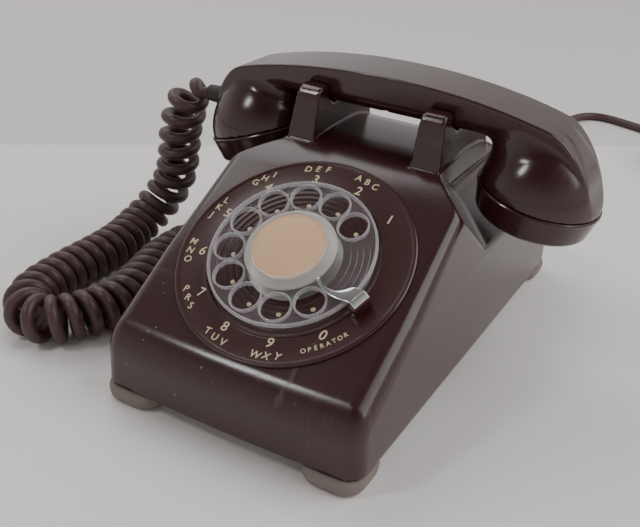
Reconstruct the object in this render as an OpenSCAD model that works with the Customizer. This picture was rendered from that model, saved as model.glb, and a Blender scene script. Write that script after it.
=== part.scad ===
// Rotary desk telephone: a moulded housing on a steel base plate, a dial on its
// sloping face, a cradle with two plungers, a ringer inside, and a handset that
// lies across the cradle with its curly cord.
//
// Origin: middle of the desk set, on the surface that it stands on. The dial
// faces -Y, +X is to the right of someone who dials, and +Z is up. Millimetres.

/* [Housing] */
// Width of the moulded housing
base_w = 130; // [126:1:136]
// Depth of the moulded housing
base_d = 246; // [242:1:254]
// Wall of the housing
wall = 3; // [2.4:0.1:3.6]
// Height of the front wall, up to the sloping face
lip_h = 26.3; // [25:0.1:28]
// Height of the rear wall, up to the rear slope
rear_h = 38; // [36:1:42]
// Slope of the face that carries the dial
face_tilt = 30.7; // [30:0.1:31.4]
// Slope of the back
rear_tilt = 38.5; // [37:0.5:40]
// Height of the crown between the cradle rails, above the housing's bottom edge
crown_h = 90.5; // [89:0.5:92]
// Corner radius of the housing seen from above
corner_r = 8; // [5:1:12]
// Rounding along the sides of the face
edge_r = 7; // [4:0.5:9]
// Height of the side shoulders under the caps, above the bottom edge
shoulder_h = 53; // [50:0.5:54]

/* [Cradle] */
// Middle of the cradle, towards the back
cradle_y = 21.5; // [20:0.5:23]
// Half the clear width between the two rails
rail_in = 26; // [24:0.5:27]
// Thickness of a rail
rail_w = 14.6; // [14:0.2:16]
// Height of the seat that the grip lies over, above the crown
seat_h = 15.2; // [14.5:0.1:16]
// Height of the four prongs above the seat
prong_h = 9.5; // [8:0.1:10]
// Thickness of a prong at its top
prong_t = 8; // [7:0.5:9]
// Half the width of the notch between front and rear prong, at its bottom
notch_half = 11; // [10.5:0.5:11.5]
// Half the length of a rail
rail_half = 31; // [30:0.5:32]

/* [Plungers] */
// Diameter of a plunger
plunger_d = 7; // [6:0.5:8]
// How far a plunger rises when the handset is lifted
plunger_travel = 7; // [6:0.5:8]

/* [Base plate and feet] */
// Thickness of the steel base plate
plate_t = 1.6; // [1.2:0.1:2]
// Height of the feet
foot_h = 8; // [7:0.5:9]
// Width and depth of a foot
foot_w = 31; // [28:1:34]
// How far a foot stands out past the housing
foot_out = 1.8; // [1:0.1:2.5]
// Diameter of the shank of a housing screw
screw_d = 4; // [3.5:0.5:4.5]

/* [Dial] */
// Distance of the dial's centre up the face from its front edge
dial_up = 65.2; // [64:0.2:66.4]
// Outer diameter of the number ring
ring_d = 110; // [106:1:112]
// Diameter of the finger wheel
wheel_d = 77; // [75:0.5:78]
// Thickness of the finger wheel
wheel_t = 2; // [1.6:0.1:2.4]
// Height of the wheel's underside above the face
wheel_lift = 4; // [3.6:0.1:4.6]
// Diameter of a finger hole
hole_d = 13.2; // [12:0.2:13.8]
// Pitch circle of the finger holes
hole_pcd = 58.2; // [57.4:0.2:59]
// Number of finger holes
hole_count = 10; // [10]
// Direction of the first finger hole, from the dial's +X side
hole_first = 45; // [40:1:50]
// Angle from one finger hole to the next
hole_step = 30; // [28:1:30]
// Direction of the finger stop
stop_angle = -22; // [-26:1:-20]
// Diameter of the number card
card_d = 33.6; // [32:0.2:35]
// Diameter of the clear cover over the card
window_d = 42; // [40:0.5:43]

/* [Dial works] */
// Diameter of the dial shaft
shaft_d = 6; // [5:0.5:6.5]
// Module of the dial gears
gear_m = 1; // [0.9:0.05:1.05]
// Teeth of the main gear
gear_teeth = 48; // [48]
// Teeth of the two pinions
pinion_teeth = 12; // [12]
// Depth of the works behind the face
works_depth = 24; // [23:0.5:26]
// Radius of the plates of the works
works_r = 44; // [43.5:0.5:45]

/* [Handset] */
// Distance of the transmitter cup from the middle of the cradle
mouth_x = 72.2; // [72:0.2:74]
// Distance of the receiver cup from the middle of the cradle
ear_x = 80.2; // [79:0.2:82]
// How far the middle of the arch lies towards the receiver
grip_mid = 3.6; // [3:0.2:5]
// Distance of the transmitter end from the middle of the cradle
mouth_reach = 97.3; // [96:0.1:99]
// Distance of the receiver end from the middle of the cradle
ear_reach = 107.2; // [106:0.1:109]
// Diameter of the two screw caps
cap_d = 60.4; // [59:0.2:61]
// Height of a screw cap
cap_h = 14.2; // [13:0.1:15]
// Lean of the transmitter cap towards the other one
mouth_lean = 19; // [16:0.5:20]
// Lean of the receiver cap towards the other one
ear_lean = 10; // [8:0.5:12]
// Width of the grip across its flat top
grip_w = 34; // [33:0.5:35]
// Thickness of the grip at its middle
grip_t = 19.5; // [18:0.5:20]
// Radius of the long arch of the grip's top
arch_r = 316; // [300:2:330]
// Radius of the rounded transmitter end
mouth_r = 38; // [36:0.5:40]
// Radius of the rounded receiver end
ear_r = 50; // [48:0.5:52]
// Drop from the cradle seat to the parting line of the caps
part_drop = 24.1; // [23:0.1:25]
// How far the handset lifts off
lift_travel = 120; // [100:5:150]

/* [Ringer] */
// Diameter of a gong
gong_d = 48; // [44:1:49]
// Height of a gong
gong_h = 14; // [12:1:15]
// Gap between the two gongs
gong_gap = 12; // [11:0.5:13]
// Diameter of a ringer coil
bell_coil_d = 16; // [14:0.5:17]
// Swing of the clapper to each side, in degrees
clapper_swing = 4.5; // [3:0.5:5]

/* [Cords] */
// Outer diameter of the curly handset cord
curl_d = 25; // [24:0.5:25]
// Diameter of the line cord
line_d = 6.4; // [6:0.1:6.8]
// Middle diameter of the stored coil of line cord
coil_d = 70; // [66:1:74]

/* [Hidden] */
$fn = 64;

// Larger than the telephone, for half-spaces
span = 600;
// No route runs along this direction, so the tubes' sides never twist
roll_ref = [0.6, -0.5, -0.6];
// Gap between pieces that are assembled but don't run in each other
fit_gap = 0.2;
// Radial clearance of a shaft or pin that runs in a hole
run_gap = 0.05;

// Heights above the table
base_z = foot_h;
plate_top = base_z + plate_t;
crown_z = base_z + crown_h;
seat_z = crown_z + seat_h;
prong_z = seat_z + prong_h;
shoulder_z = base_z + shoulder_h;
face_foot = [0, -base_d / 2, base_z + lip_h];
rear_foot = [0, base_d / 2, base_z + rear_h];

// The bays under the caps: two long planes that meet at bay_mid, and a front one
bay_top = [rail_in + rail_w + 0.2, crown_z];
bay_mid = [bay_top[0] + 0.4, crown_z - 22.5];
bay_low = [base_w / 2, shoulder_z];
bay_turn = 31.6;
bay_tilt = 54.8;
bay_cut = 2.6;
crown_front_y = face_foot[1] + (crown_z - face_foot[2]) / tan(face_tilt);

// Cradle rails
rail_x = rail_in + rail_w / 2;
rail_taper = 1.2;
rail_wall = 2.4;
prong_lean = 6;

// Base plate and what screws to it
plate_inset = wall + 0.5;
boss_front_x = 22;
boss_rear_x = 7;
boss_in = 10;
boss_d = 9;
boss_bore = screw_d - 0.6;
foot_x = base_w / 2 + foot_out - foot_w / 2;
foot_y = base_d / 2 + foot_out - foot_w / 2;
foot_r = corner_r + foot_out;
stud_d = 5;

// Dial, measured from the face along its normal
dial_c = face_foot + dial_up * [0, cos(face_tilt), sin(face_tilt)];
wheel_top = wheel_lift + wheel_t;
ring_seat = 3;
ring_floor = -0.5;
ring_t = 2;
stop_seat = 0.85;
frame_h = ring_floor - ring_t - fit_gap;
frame_t = 1.8;
works_gap = works_depth + frame_h - frame_t;
bracket_x = works_r - 2.6;
bracket_foot = 11;
gear_t = 3;
gear_h = -15;
gear_pitch = gear_m * gear_teeth / 2;
pinion_pitch = gear_m * pinion_teeth / 2;
pinion_r = gear_pitch + pinion_pitch + 0.15;
pulse_angle = 200;
governor_angle = pulse_angle - 17 * 360 / gear_teeth;
spindle_d = 3;
holder_h = 3;
card_t = 0.4;

// Hook switch
hook_pivot = [0, cradle_y + 24.5, seat_z - 29.7];
hook_pin_d = 3;
hook_ear_x = 18;
hook_web_y = hook_pivot[1] + 5;
sheet_t = 1.5;
plunger_foot = hook_pivot[2] + 2.3;

// Network box and capacitor on the base plate
network = [62, 50, 25];
network_at = [-network[0] / 2, 4 - network[1], plate_top];
capacitor_d = 15.8;
capacitor_l = 30;

// Ringer
ringer_z = plate_top + 4.4;
ringer_plate = ringer_z + sheet_t;
gong_x = (gong_d + gong_gap) / 2;
gong_y = base_d / 2 - wall - 3 - gong_d / 2;
gong_t = 1.2;
bell_coil_x = bell_coil_d * 0.75;
bell_coil_y = [hook_web_y + sheet_t + 2, hook_web_y + sheet_t + 16];
bell_coil_z = ringer_plate + 2.5 + bell_coil_d / 2;
gong_rim = bell_coil_z + bell_coil_d / 2 + 2;
core_d = 6;
clapper_pivot = [0, bell_coil_y[1] + 5.3, 0];
clapper_pin_d = 2;
clapper_z = gong_rim + 4;
clapper_ball = 8;

// Volume wheel under the plate
volume_at = [41, 50];
volume_d = 22;
volume_pin_d = 4;

// Handset
grip_low = seat_z + 0.3;
grip_top = grip_low + grip_t;
part_z = seat_z - part_drop;
mouth_z = part_z + 2.9;
ear_z = part_z - 6.6;
grip_lean = 7.6;
cup_r = cap_d / 2 - 1;
cup_bore_r = cup_r - 6.7;
spigot_r = cup_r - 2.2;
spigot_h = 5;
gland_z = part_z + 9.4;
gland_d = 10;
gland_l = 12.5;
gland_x = -mouth_reach - 0.1;

// Route of the curly cord, from the handset's gland to the housing's grommet
handset_cord_route = [
  [-110.5, 21.5, 99], [-114.5, 21.7, 98.8], [-118.3, 22, 97.6], [-121.8, 22.3, 95],
  [-125.5, 22.7, 89.5], [-129, 22.8, 82], [-131.3, 23.2, 74], [-132.7, 23.6, 66.5],
  [-134, 24, 56], [-136, 24, 45.5], [-138.7, 22.8, 37], [-142, 20, 29.8],
  [-145.5, 15.5, 22.8], [-147.6, 9, 17.6], [-148.2, 0, 14.2], [-147.2, -8, 12.9],
  [-145.3, -17, 12.7], [-144.1, -28, 12.7], [-143.8, -40, 12.7], [-144, -52, 12.7],
  [-144, -64, 12.7], [-143.5, -74, 12.7], [-142.3, -84, 12.7], [-139, -94, 12.7],
  [-132.5, -102, 12.7], [-124, -105.3, 12.7], [-116, -102.5, 12.7], [-109.5, -94.5, 12.7],
  [-105, -85, 12.7], [-102.3, -75, 12.7], [-101.8, -64, 12.7], [-103.5, -53, 12.7],
  [-107, -40, 12.7], [-110.5, -27, 12.7], [-112, -13, 12.7], [-111.5, 0, 12.7],
  [-108, 12, 12.7], [-101, 23.5, 12.7], [-92, 31.5, 12.9], [-83, 36, 14.5], [-74.2, 37, 16.5]
];
// Share of the full radius at the cord's ends
cord_ease = [0.36, 0.4, 0.72, 1];
handset_entry = [-base_w / 2, 37, 16.5];

// Route of the line cord, from the rear wall to its stored coil
line_cord_route = [
  [20, 132.1, 17], [19.5, 142, 14.5], [18, 154, 9.5], [16, 167, 5], [13, 181, 3.5],
  [8, 200, 3.3], [1, 224, 3.3], [-6, 252, 3.3], [-10, 280, 3.3], [-11.5, 308, 3.3],
  [-10.5, 334, 3.3], [-8, 358, 3.3], [-4, 380, 3.3], [-1, 394, 3.3], [2.5, 406.5, 3.3],
  [6.4, 414.9, 3.3], [12, 420.8, 3.3], [19.6, 423.9, 3.3], [29, 424, 3.3], [42, 420.6, 3.3],
  [56, 416.4, 3.3], [72, 411, 3.3], [88, 405, 3.3], [101, 400, 3.4], [114, 396.5, 3.8],
  [127, 395.3, 3.95]
];
line_entry = [20, base_d / 2, 17];
// Route of the free end, from the coil to the plug
line_end_route = [
  [165.3, 357, 23.4], [165.5, 348, 22.6], [165.2, 336, 19.6], [163.8, 324, 16.4], [162, 312, 15]
];
coil_turn_w = 2 * line_d + 0.4;
coil_turn_h = 4 * line_d + 0.4;
coil_at = [127, 357, 0.7];
tie_t = 0.6;
plug_d = 30;
plug_l = 22;
plug_neck = 14;
plug_pin = 12;
plug_at = [162, 298, plug_d / 2];

// Colours
brown = [0.17, 0.11, 0.11];
dark = [0.12, 0.09, 0.09];
rubber = [0.30, 0.25, 0.23];
steel = [0.62, 0.62, 0.60];
brass = [0.80, 0.65, 0.35];
cord_brown = [0.28, 0.19, 0.19];
clear = [0.85, 0.88, 0.90, 0.45];

// ---------------------------------------------------------------- helpers

// Corner between sides a and b of an outline, each [outward direction, distance]
function corner(a, b, back) =
  let (da = a[1] - back, db = b[1] - back, turn = sin(b[0] - a[0]))
  [(da * sin(b[0]) - db * sin(a[0])) / turn, (db * cos(a[0]) - da * cos(b[0])) / turn];

// Points of a convex outline, given by its sides in turn, with rounded corners
function outline(sides, radii, steps = 6) = [
  for (i = [0:len(sides) - 1])
    let (
      a = sides[i], next = sides[(i + 1) % len(sides)],
      b = [next[0] + (next[0] < a[0] ? 360 : 0), next[1]],
      r = radii[i], n = r > 0 ? steps : 0, c = corner(a, b, r)
    )
    for (k = [0:n])
      let (t = a[0] + (b[0] - a[0]) * k / max(n, 1))
      c + r * [cos(t), sin(t)]
];

// Distance of a side with this outward direction through a point
function side(direction, point) =
  [direction, point * [cos(direction), sin(direction)]];

// A drawing in Y and Z, extruded along X and centred on it
module along_x(width) {
  rotate([90, 0, 90]) linear_extrude(width, center = true) children();
}

// A drawing in X and Z, extruded along Y and centred on it
module along_y(depth) {
  rotate([90, 0, 0]) linear_extrude(depth, center = true) children();
}

module both_sides() {
  children();
  mirror([1, 0, 0]) children();
}

module at_four_corners(x, y) {
  for (sx = [-1, 1], sy = [-1, 1]) translate([sx * x, sy * y, 0]) children();
}

module at_screws() {
  for (sx = [-1, 1]) {
    translate([sx * boss_front_x, boss_in - base_d / 2, 0]) children();
    translate([sx * boss_rear_x, base_d / 2 - boss_in, 0]) children();
  }
}

// Rounded rectangle centred on the origin
module rounded_rect(w, d, r) {
  polygon(outline([[0, w / 2], [90, d / 2], [180, w / 2], [270, d / 2]], [r, r, r, r]));
}

module tube_ring(outer_d, inner_d, h) {
  difference() {
    cylinder(d = outer_d, h = h);
    translate([0, 0, -1]) cylinder(d = inner_d, h = h + 2);
  }
}

// The dial's own frame: origin at its centre on the face, +Z out of the face
module on_face() {
  translate(dial_c) rotate([face_tilt, 0, 0]) children();
}

function cup_at(side_sign) = side_sign < 0 ? mouth_x : ear_x;
function cup_lean(side_sign) = side_sign < 0 ? mouth_lean : ear_lean;

// A cap's own frame: origin on its parting plane, +Z into the handset
module at_cup(side_sign) {
  translate([side_sign * cup_at(side_sign), cradle_y, part_z])
    rotate([0, side_sign * cup_lean(side_sign), 0]) children();
}

// Tube through the points of a route, with a radius at each point
module route_tube(route, radii, sides) {
  last = len(route) - 1;
  rings = [
    for (i = [0:last])
      let (
        ahead = route[min(i + 1, last)] - route[max(i - 1, 0)],
        w = ahead / norm(ahead),
        u = cross(roll_ref, w) / norm(cross(roll_ref, w)),
        v = cross(w, u)
      )
      for (k = [0:sides - 1])
        let (t = 360 * k / sides)
        route[i] + radii[i] * (cos(t) * u + sin(t) * v)
  ];
  walls = [
    for (i = [0:last - 1], k = [0:sides - 1])
      let (a = i * sides + k, b = i * sides + (k + 1) % sides)
      [a, a + sides, b + sides, b]
  ];
  ends = [[for (k = [0:sides - 1]) k], [for (k = [sides - 1:-1:0]) last * sides + k]];
  polyhedron(rings, concat(walls, ends), convexity = 8);
}

// Flat gear with straight-flanked teeth, the first one centred on +X
module spur_gear(teeth, m, h, bore_d) {
  pitch = m * teeth / 2;
  half_pitch = 90 / teeth;
  difference() {
    linear_extrude(h)
      polygon([
        for (i = [0:teeth - 1])
          for (p = [
            [-1.6, -1.15], [-1.15, -1.15], [-0.4, 0.8], [0.4, 0.8], [1.15, -1.15]
          ])
            let (a = 360 * i / teeth + p[0] * half_pitch, r = pitch + p[1] * m)
            r * [cos(a), sin(a)]
      ]);
    translate([0, 0, -1]) cylinder(d = bore_d, h = h + 2);
  }
}

// ---------------------------------------------------------------- housing

// Side view of the body, inset by s
module body_profile(s) {
  sides = [
    [-90, s > 0 ? 1 - base_z : -base_z],
    [0, base_d / 2 - s],
    side(90 - rear_tilt, [rear_foot[1], rear_foot[2]]) - [0, s],
    [90, crown_z - s],
    side(90 + face_tilt, [face_foot[1], face_foot[2]]) - [0, s],
    [180, base_d / 2 - s]
  ];
  polygon(outline(sides, [0, 10 - s, 12 - s, 5 - s, 9 - s, 0]));
}

// Cross-section square to the slope of the face, with its two edges rolled over
module face_section(s) {
  half = base_w / 2 - s;
  r = edge_r - min(s, edge_r - 1);
  polygon(outline([[0, half], [90, -s], [180, half], [270, span / 2]], [r, r, 0, 0]));
}

module body_block(s) {
  intersection() {
    along_x(base_w + 2) body_profile(s);
    linear_extrude(span) rounded_rect(base_w - 2 * s, base_d - 2 * s, corner_r - min(s, corner_r - 1));
    translate(face_foot) rotate([face_tilt, 0, 0]) along_y(2 * span) face_section(s);
  }
}

// Space beside the cradle where a cap hangs, on the +X side, grown by s
module bay(s) {
  upper = [(bay_top - bay_mid)[0], (bay_top - bay_mid)[1]];
  lower = [(bay_low - bay_mid)[0], (bay_low - bay_mid)[1]];
  a_dir = atan2(-upper[0], upper[1]);
  a_side = side(-a_dir, bay_mid);
  b_side = side(90 + atan2(lower[1], lower[0]), bay_mid);
  mid = corner(a_side, b_side, s);
  intersection() {
    along_y(2 * span)
      polygon([
        mid, mid + span * lower / norm(lower), [span, span], mid + span * upper / norm(upper)
      ]);
    translate([bay_top[0], crown_front_y, crown_z])
      rotate([0, bay_tilt, bay_turn]) translate([-span / 2, -span / 2, bay_cut - s]) cube(span);
  }
}

// Side view of a rail: a prong at the front, a notch, and a prong at the back
module rail_profile() {
  foot = crown_z - 8;
  half = [
    [rail_half + 1.5, foot], [rail_half, crown_z], [rail_half - prong_lean + 0.7, prong_z - 4],
    [rail_half - prong_lean - 0.1, prong_z - 2.1], [rail_half - prong_lean - 1.8, prong_z - 0.5],
    [rail_half - prong_lean - 4.2, prong_z], [rail_half - prong_lean - prong_t + 0.2, prong_z],
    [notch_half + 4.2, seat_z + 3.2], [notch_half, seat_z]
  ];
  translate([cradle_y, 0])
    polygon(concat(half, [for (i = [len(half) - 1:-1:0]) [-half[i][0], half[i][1]]]));
}

// Front view of a rail, narrower at its top
module rail_section() {
  polygon([
    [rail_in, crown_z - 8], [rail_in, crown_z], [rail_in + rail_taper, prong_z + 1],
    [rail_in + rail_w - 2 * rail_taper, prong_z + 1], [rail_in + rail_w, crown_z],
    [rail_in + rail_w, crown_z - 8]
  ]);
}

module rail() {
  intersection() {
    translate([rail_x, 0, 0]) along_x(rail_w + 2) rail_profile();
    along_y(span) rail_section();
  }
}

module rail_hollow() {
  translate([rail_in + rail_wall, cradle_y - rail_half + wall + 4, crown_z - wall - 6])
    cube([rail_w - 2 * rail_wall, 2 * (rail_half - wall - 4), seat_h + 6]);
}

module housing() {
  color(brown) difference() {
    union() {
      difference() {
        body_block(0);
        both_sides() bay(0);
      }
      both_sides() rail();
    }
    difference() {
      body_block(wall);
      both_sides() bay(wall);
      at_screws()
        translate([0, 0, plate_top + fit_gap]) cylinder(d = boss_d, h = span);
    }
    both_sides() rail_hollow();
    on_face() translate([0, 0, -2 * wall]) cylinder(d = ring_d - 2 * ring_seat, h = 4 * wall, $fn = 96);
    both_sides() translate([rail_x, cradle_y, seat_z - 2 * wall])
      cylinder(d = plunger_d + 2 * run_gap, h = 4 * wall);
    at_screws()
      translate([0, 0, base_z - 1]) cylinder(d = boss_bore, h = 18);
    translate(handset_entry) rotate([0, 90, 0]) cylinder(d = grommet_neck(), h = 4 * wall, center = true);
    translate(line_entry) rotate([90, 0, 0]) cylinder(d = grommet_neck(), h = 4 * wall, center = true);
  }
}

// ---------------------------------------------------------------- base

module base_plate() {
  color(steel) difference() {
    translate([0, 0, base_z]) linear_extrude(plate_t)
      rounded_rect(base_w - 2 * plate_inset, base_d - 2 * plate_inset, corner_r - 3);
    at_screws()
      translate([0, 0, base_z - 1]) cylinder(d = screw_d + 0.4, h = plate_t + 2);
    at_four_corners(foot_x, foot_y)
      translate([0, 0, base_z - 1]) cylinder(d = stud_d + 0.4, h = plate_t + 2);
    translate([volume_at[0], volume_at[1], base_z - 1])
      cylinder(d = volume_pin_d + 2 * run_gap, h = plate_t + 2);
    for (y = [-30, -12, 6]) translate([-50, y, base_z - 1]) linear_extrude(plate_t + 2)
      rounded_rect(12, 5, 2.4);
  }
}

// Foot pad in its own place: sx and sy are -1 or 1
module foot(sx, sy) {
  color(rubber) translate([sx * foot_x, sy * foot_y, 0]) {
    difference() {
      linear_extrude(foot_h - 0.02) rounded_rect(foot_w, foot_w, foot_r);
      translate([0, 0, -1]) cylinder(d = 8, h = 4);
    }
    cylinder(d = stud_d, h = foot_h + plate_t + 1.2);
    translate([0, 0, foot_h + plate_t + 0.1]) cylinder(d = 8.5, h = 1.6);
  }
}

module foot_front_left() { foot(-1, -1); }
module foot_front_right() { foot(1, -1); }
module foot_rear_left() { foot(-1, 1); }
module foot_rear_right() { foot(1, 1); }

module housing_screws() {
  color(steel) at_screws() {
    translate([0, 0, base_z - 2.6]) difference() {
      cylinder(d = 8, h = 2.5);
      translate([-5, -0.6, -1]) cube([10, 1.2, 2]);
    }
    translate([0, 0, base_z - 0.2]) cylinder(d = screw_d, h = plate_t + 0.2);
    translate([0, 0, base_z]) cylinder(d = boss_bore - 0.1, h = 12);
  }
}

// ---------------------------------------------------------------- dial, fixed

module number_ring() {
  r = ring_d / 2;
  well = wheel_d / 2;
  color(dark) on_face() rotate_extrude($fn = 96)
    polygon([
      [r, 0.02], [r, 0.7], [r - 0.5, 1.2], [r - 1.4, 1.3], [r - 2.6, 1.0], [well + 1.6, 0.7],
      [well + 0.8, 0.3], [well + 0.4, ring_floor], [22, ring_floor], [22, ring_floor - ring_t],
      [well + 2.5, ring_floor - ring_t], [r - ring_seat - 0.5, ring_floor - 0.8],
      [r - ring_seat - 0.5, 0.02]
    ]);
}

// Finger stop: a block on the ring outside the wheel and a hooked arm over it
module finger_stop() {
  r0 = wheel_d / 2 + 1.2;
  r1 = r0 + 4.4;
  tip = window_d / 2 + 1.2;
  arm_h = wheel_top + 1.1;
  color(steel) on_face() rotate([0, 0, stop_angle]) {
    translate([r0, -3.6, stop_seat]) cube([r1 - r0, 7.4, arm_h + 1.2 - stop_seat]);
    translate([0, 0, arm_h]) linear_extrude(1.2)
      polygon([
        [r1, 3.8], [r1, -3.6], [r0 - 2, -3.6], [r0 - 6, -2.8], [r0 - 10, -2.5],
        [tip + 1, -2.6], [tip, -1.8], [tip, -0.6], [tip + 1.6, 0.6], [r0 - 9, 1.5],
        [r0 - 4, 2.4]
      ]);
  }
}

module dial_frame() {
  low = frame_h - frame_t - works_gap;
  color(steel) on_face() {
    for (h = [frame_h - frame_t, low])
      difference() {
        translate([0, 0, h]) cylinder(r = works_r - (h == low ? 6 : 0), h = frame_t);
        translate([0, 0, h - 1]) cylinder(d = shaft_d + 2 * run_gap, h = frame_t + 2);
        for (a = [pulse_angle, governor_angle]) rotate([0, 0, a]) translate([pinion_r, 0, h - 1])
          cylinder(d = spindle_d + 2 * run_gap, h = frame_t + 2);
      }
    for (a = [20, 140, 260]) rotate([0, 0, a]) translate([works_r - 10, 0, low + frame_t / 2])
      cylinder(d = 5, h = works_gap);
  }
}

// Two pressed-steel brackets that carry the dial frame above the base plate
module dial_brackets() {
  reach = 10;
  under = frame_h - frame_t - 0.1;
  top = [for (v = [-reach, reach])
    [dial_c[1] + v * cos(face_tilt) - under * sin(face_tilt),
     dial_c[2] + v * sin(face_tilt) + under * cos(face_tilt)]];
  color(steel) both_sides() {
    translate([bracket_x, 0, 0]) along_x(sheet_t)
      polygon([[top[0][0], plate_top], [top[1][0] + 4, plate_top], top[1], top[0]]);
    translate([bracket_x - sheet_t / 2, top[0][0], plate_top])
      cube([bracket_foot, top[1][0] + 4 - top[0][0], sheet_t]);
  }
}

module dial_screws() {
  mid_y = dial_c[1] - (frame_h - frame_t) * sin(face_tilt) + 2;
  color(steel) both_sides() for (dy = [-5, 5])
    translate([bracket_x + bracket_foot - 4, mid_y + dy, plate_top + sheet_t])
      cylinder(d = 5.5, h = 2);
}

module return_spring() {
  low = frame_h - frame_t - works_gap + frame_t;
  color(steel) on_face() translate([0, 0, low + 0.02]) for (r = [5:1.6:13])
    tube_ring(2 * r, 2 * r - 1.2, 4);
}

module governor_cup() {
  low = frame_h - frame_t - works_gap + frame_t;
  color(brass) on_face() rotate([0, 0, governor_angle]) translate([pinion_r, 0, low + 0.02])
    difference() {
      cylinder(r = 7.5, h = 5.2);
      translate([0, 0, -1]) cylinder(r = 6.5, h = 8);
    }
}

module pulse_springs() {
  low = frame_h - frame_t - works_gap + frame_t;
  color(brass) on_face() rotate([0, 0, pulse_angle - 38]) translate([works_r - 17, -4, low + 0.02]) {
    cube([7, 8, 4]);
    for (i = [0:2]) translate([1 + 2 * i, 0, 4]) cube([0.6, 16, 2.4]);
  }
}

// ---------------------------------------------------------------- dial, moving

module finger_wheel() {
  color(clear) on_face() difference() {
    union() {
      translate([0, 0, wheel_lift]) cylinder(d = wheel_d, h = wheel_t, $fn = 96);
      for (i = [0:hole_count - 1]) rotate([0, 0, hole_first + i * hole_step])
        translate([hole_pcd / 2, 0, wheel_lift]) cylinder(d = hole_d + 2, h = wheel_t + 0.5);
    }
    for (i = [0:hole_count - 1]) rotate([0, 0, hole_first + i * hole_step])
      translate([hole_pcd / 2, 0, wheel_lift - 1]) cylinder(d = hole_d, h = wheel_t + 3);
    translate([0, 0, wheel_lift - 1]) cylinder(d = shaft_d + 2 * fit_gap, h = wheel_t + 2);
  }
}

module card_holder() {
  color(steel) on_face() translate([0, 0, wheel_top + 0.02]) difference() {
    cylinder(d = card_d + 1, h = holder_h);
    translate([0, 0, -1]) cylinder(d = shaft_d + 2 * fit_gap, h = 2.6);
  }
}

module number_card() {
  color([0.83, 0.70, 0.54]) on_face() translate([0, 0, wheel_top + holder_h + 0.04])
    cylinder(d = card_d, h = card_t);
}

module card_window() {
  top = holder_h + card_t + 0.9;
  color(clear) on_face() translate([0, 0, wheel_top + 0.02]) rotate_extrude()
    polygon([
      [window_d / 2, 0], [window_d / 2 - 0.3, 1], [window_d / 2 - 3, top - 0.6],
      [window_d / 2 - 4, top], [0, top], [0, top - 0.7], [card_d / 2 + 0.8, top - 0.7],
      [card_d / 2 + 0.8, 0]
    ]);
}

module dial_shaft() {
  low = frame_h - frame_t - works_gap;
  color(steel) on_face() translate([0, 0, low]) cylinder(d = shaft_d, h = wheel_top + 1 - low);
}

module main_gear() {
  color(brass) on_face() translate([0, 0, gear_h])
    rotate([0, 0, 180 / gear_teeth + pulse_angle]) spur_gear(gear_teeth, gear_m, gear_t, shaft_d + 0.02);
}

// A pinion on its own spindle, meshed with the main gear in one direction
module pinion_spindle(angle) {
  low = frame_h - frame_t - works_gap;
  rotate([0, 0, angle]) translate([pinion_r, 0, 0]) {
    translate([0, 0, low]) cylinder(d = spindle_d, h = frame_h - low);
    translate([0, 0, gear_h - 0.5]) rotate([0, 0, 180])
      spur_gear(pinion_teeth, gear_m, gear_t + 1, spindle_d - 0.02);
  }
}

module pulse_pinion() {
  color(brass) on_face() {
    pinion_spindle(pulse_angle);
    rotate([0, 0, pulse_angle]) translate([pinion_r, 0, gear_h + gear_t + 1.2]) {
      cylinder(r = 4, h = 1.8);
      for (a = [0, 180]) rotate([0, 0, a]) translate([2, -1.2, 0]) cube([3.6, 2.4, 1.8]);
    }
  }
}

module governor() {
  low = frame_h - frame_t - works_gap + frame_t;
  color(steel) on_face() {
    pinion_spindle(governor_angle);
    rotate([0, 0, governor_angle]) translate([pinion_r, 0, low + 1])
      for (a = [0, 180]) rotate([0, 0, a]) translate([1, -1, 0]) cube([4.6, 2, 3]);
  }
}

// ---------------------------------------------------------------- inside

module network_box() {
  color(steel) translate(network_at) difference() {
    cube(network);
    for (x = [8, network[0] - 8]) translate([x, network[1] / 2, -1]) cylinder(d = 3, h = 3);
  }
}

module network_terminals() {
  pitch = (network[0] - 12) / 7;
  color(brass) translate(network_at + [0, 0, network[2]]) {
    for (i = [0:7], y = [3, network[1] - 3]) translate([6 + i * pitch, y, 0]) {
      cylinder(d = 2.6, h = 3);
      translate([0, 0, 3]) cylinder(d = 4.6, h = 1.6);
    }
  }
}

module capacitor() {
  r = capacitor_d / 2;
  color(steel) translate([wall + 11 + r - base_w / 2, 14, plate_top + r + 0.1]) rotate([90, 0, 0]) {
    cylinder(r = r, h = capacitor_l, center = true);
    cylinder(d = 10, h = capacitor_l + 3, center = true);
  }
}

module ringer_frame() {
  front = hook_web_y + sheet_t + 0.6;
  color(steel) difference() {
    union() {
      translate([-46, front, ringer_z]) cube([92, gong_y + 12 - front, sheet_t]);
      for (x = [-40, 40], y = [front + 6, gong_y + 6]) translate([x, y, plate_top])
        cylinder(d = 7, h = ringer_z - plate_top);
      both_sides() translate([gong_x, gong_y, ringer_plate])
        cylinder(d = 6, h = gong_rim + gong_h - gong_t - ringer_plate);
      translate([0, clapper_pivot[1], ringer_z]) cylinder(d = clapper_pin_d, h = clapper_z + 5 - ringer_z);
    }
    translate([volume_at[0], volume_at[1], ringer_z - 1]) cylinder(d = 14, h = sheet_t + 2);
    both_sides() translate([gong_x, gong_y, gong_rim + 4]) cylinder(d = 2.4, h = 20);
  }
}

module ringer_core() {
  color(steel) {
    translate([-19, bell_coil_y[0] - 1.4, ringer_plate + 0.02])
      cube([38, 1.2, bell_coil_z + 6 - ringer_plate]);
    both_sides() translate([bell_coil_x, bell_coil_y[0] - 0.2, bell_coil_z]) rotate([-90, 0, 0])
      cylinder(d = core_d, h = bell_coil_y[1] - bell_coil_y[0] + 2.4);
  }
}

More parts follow.
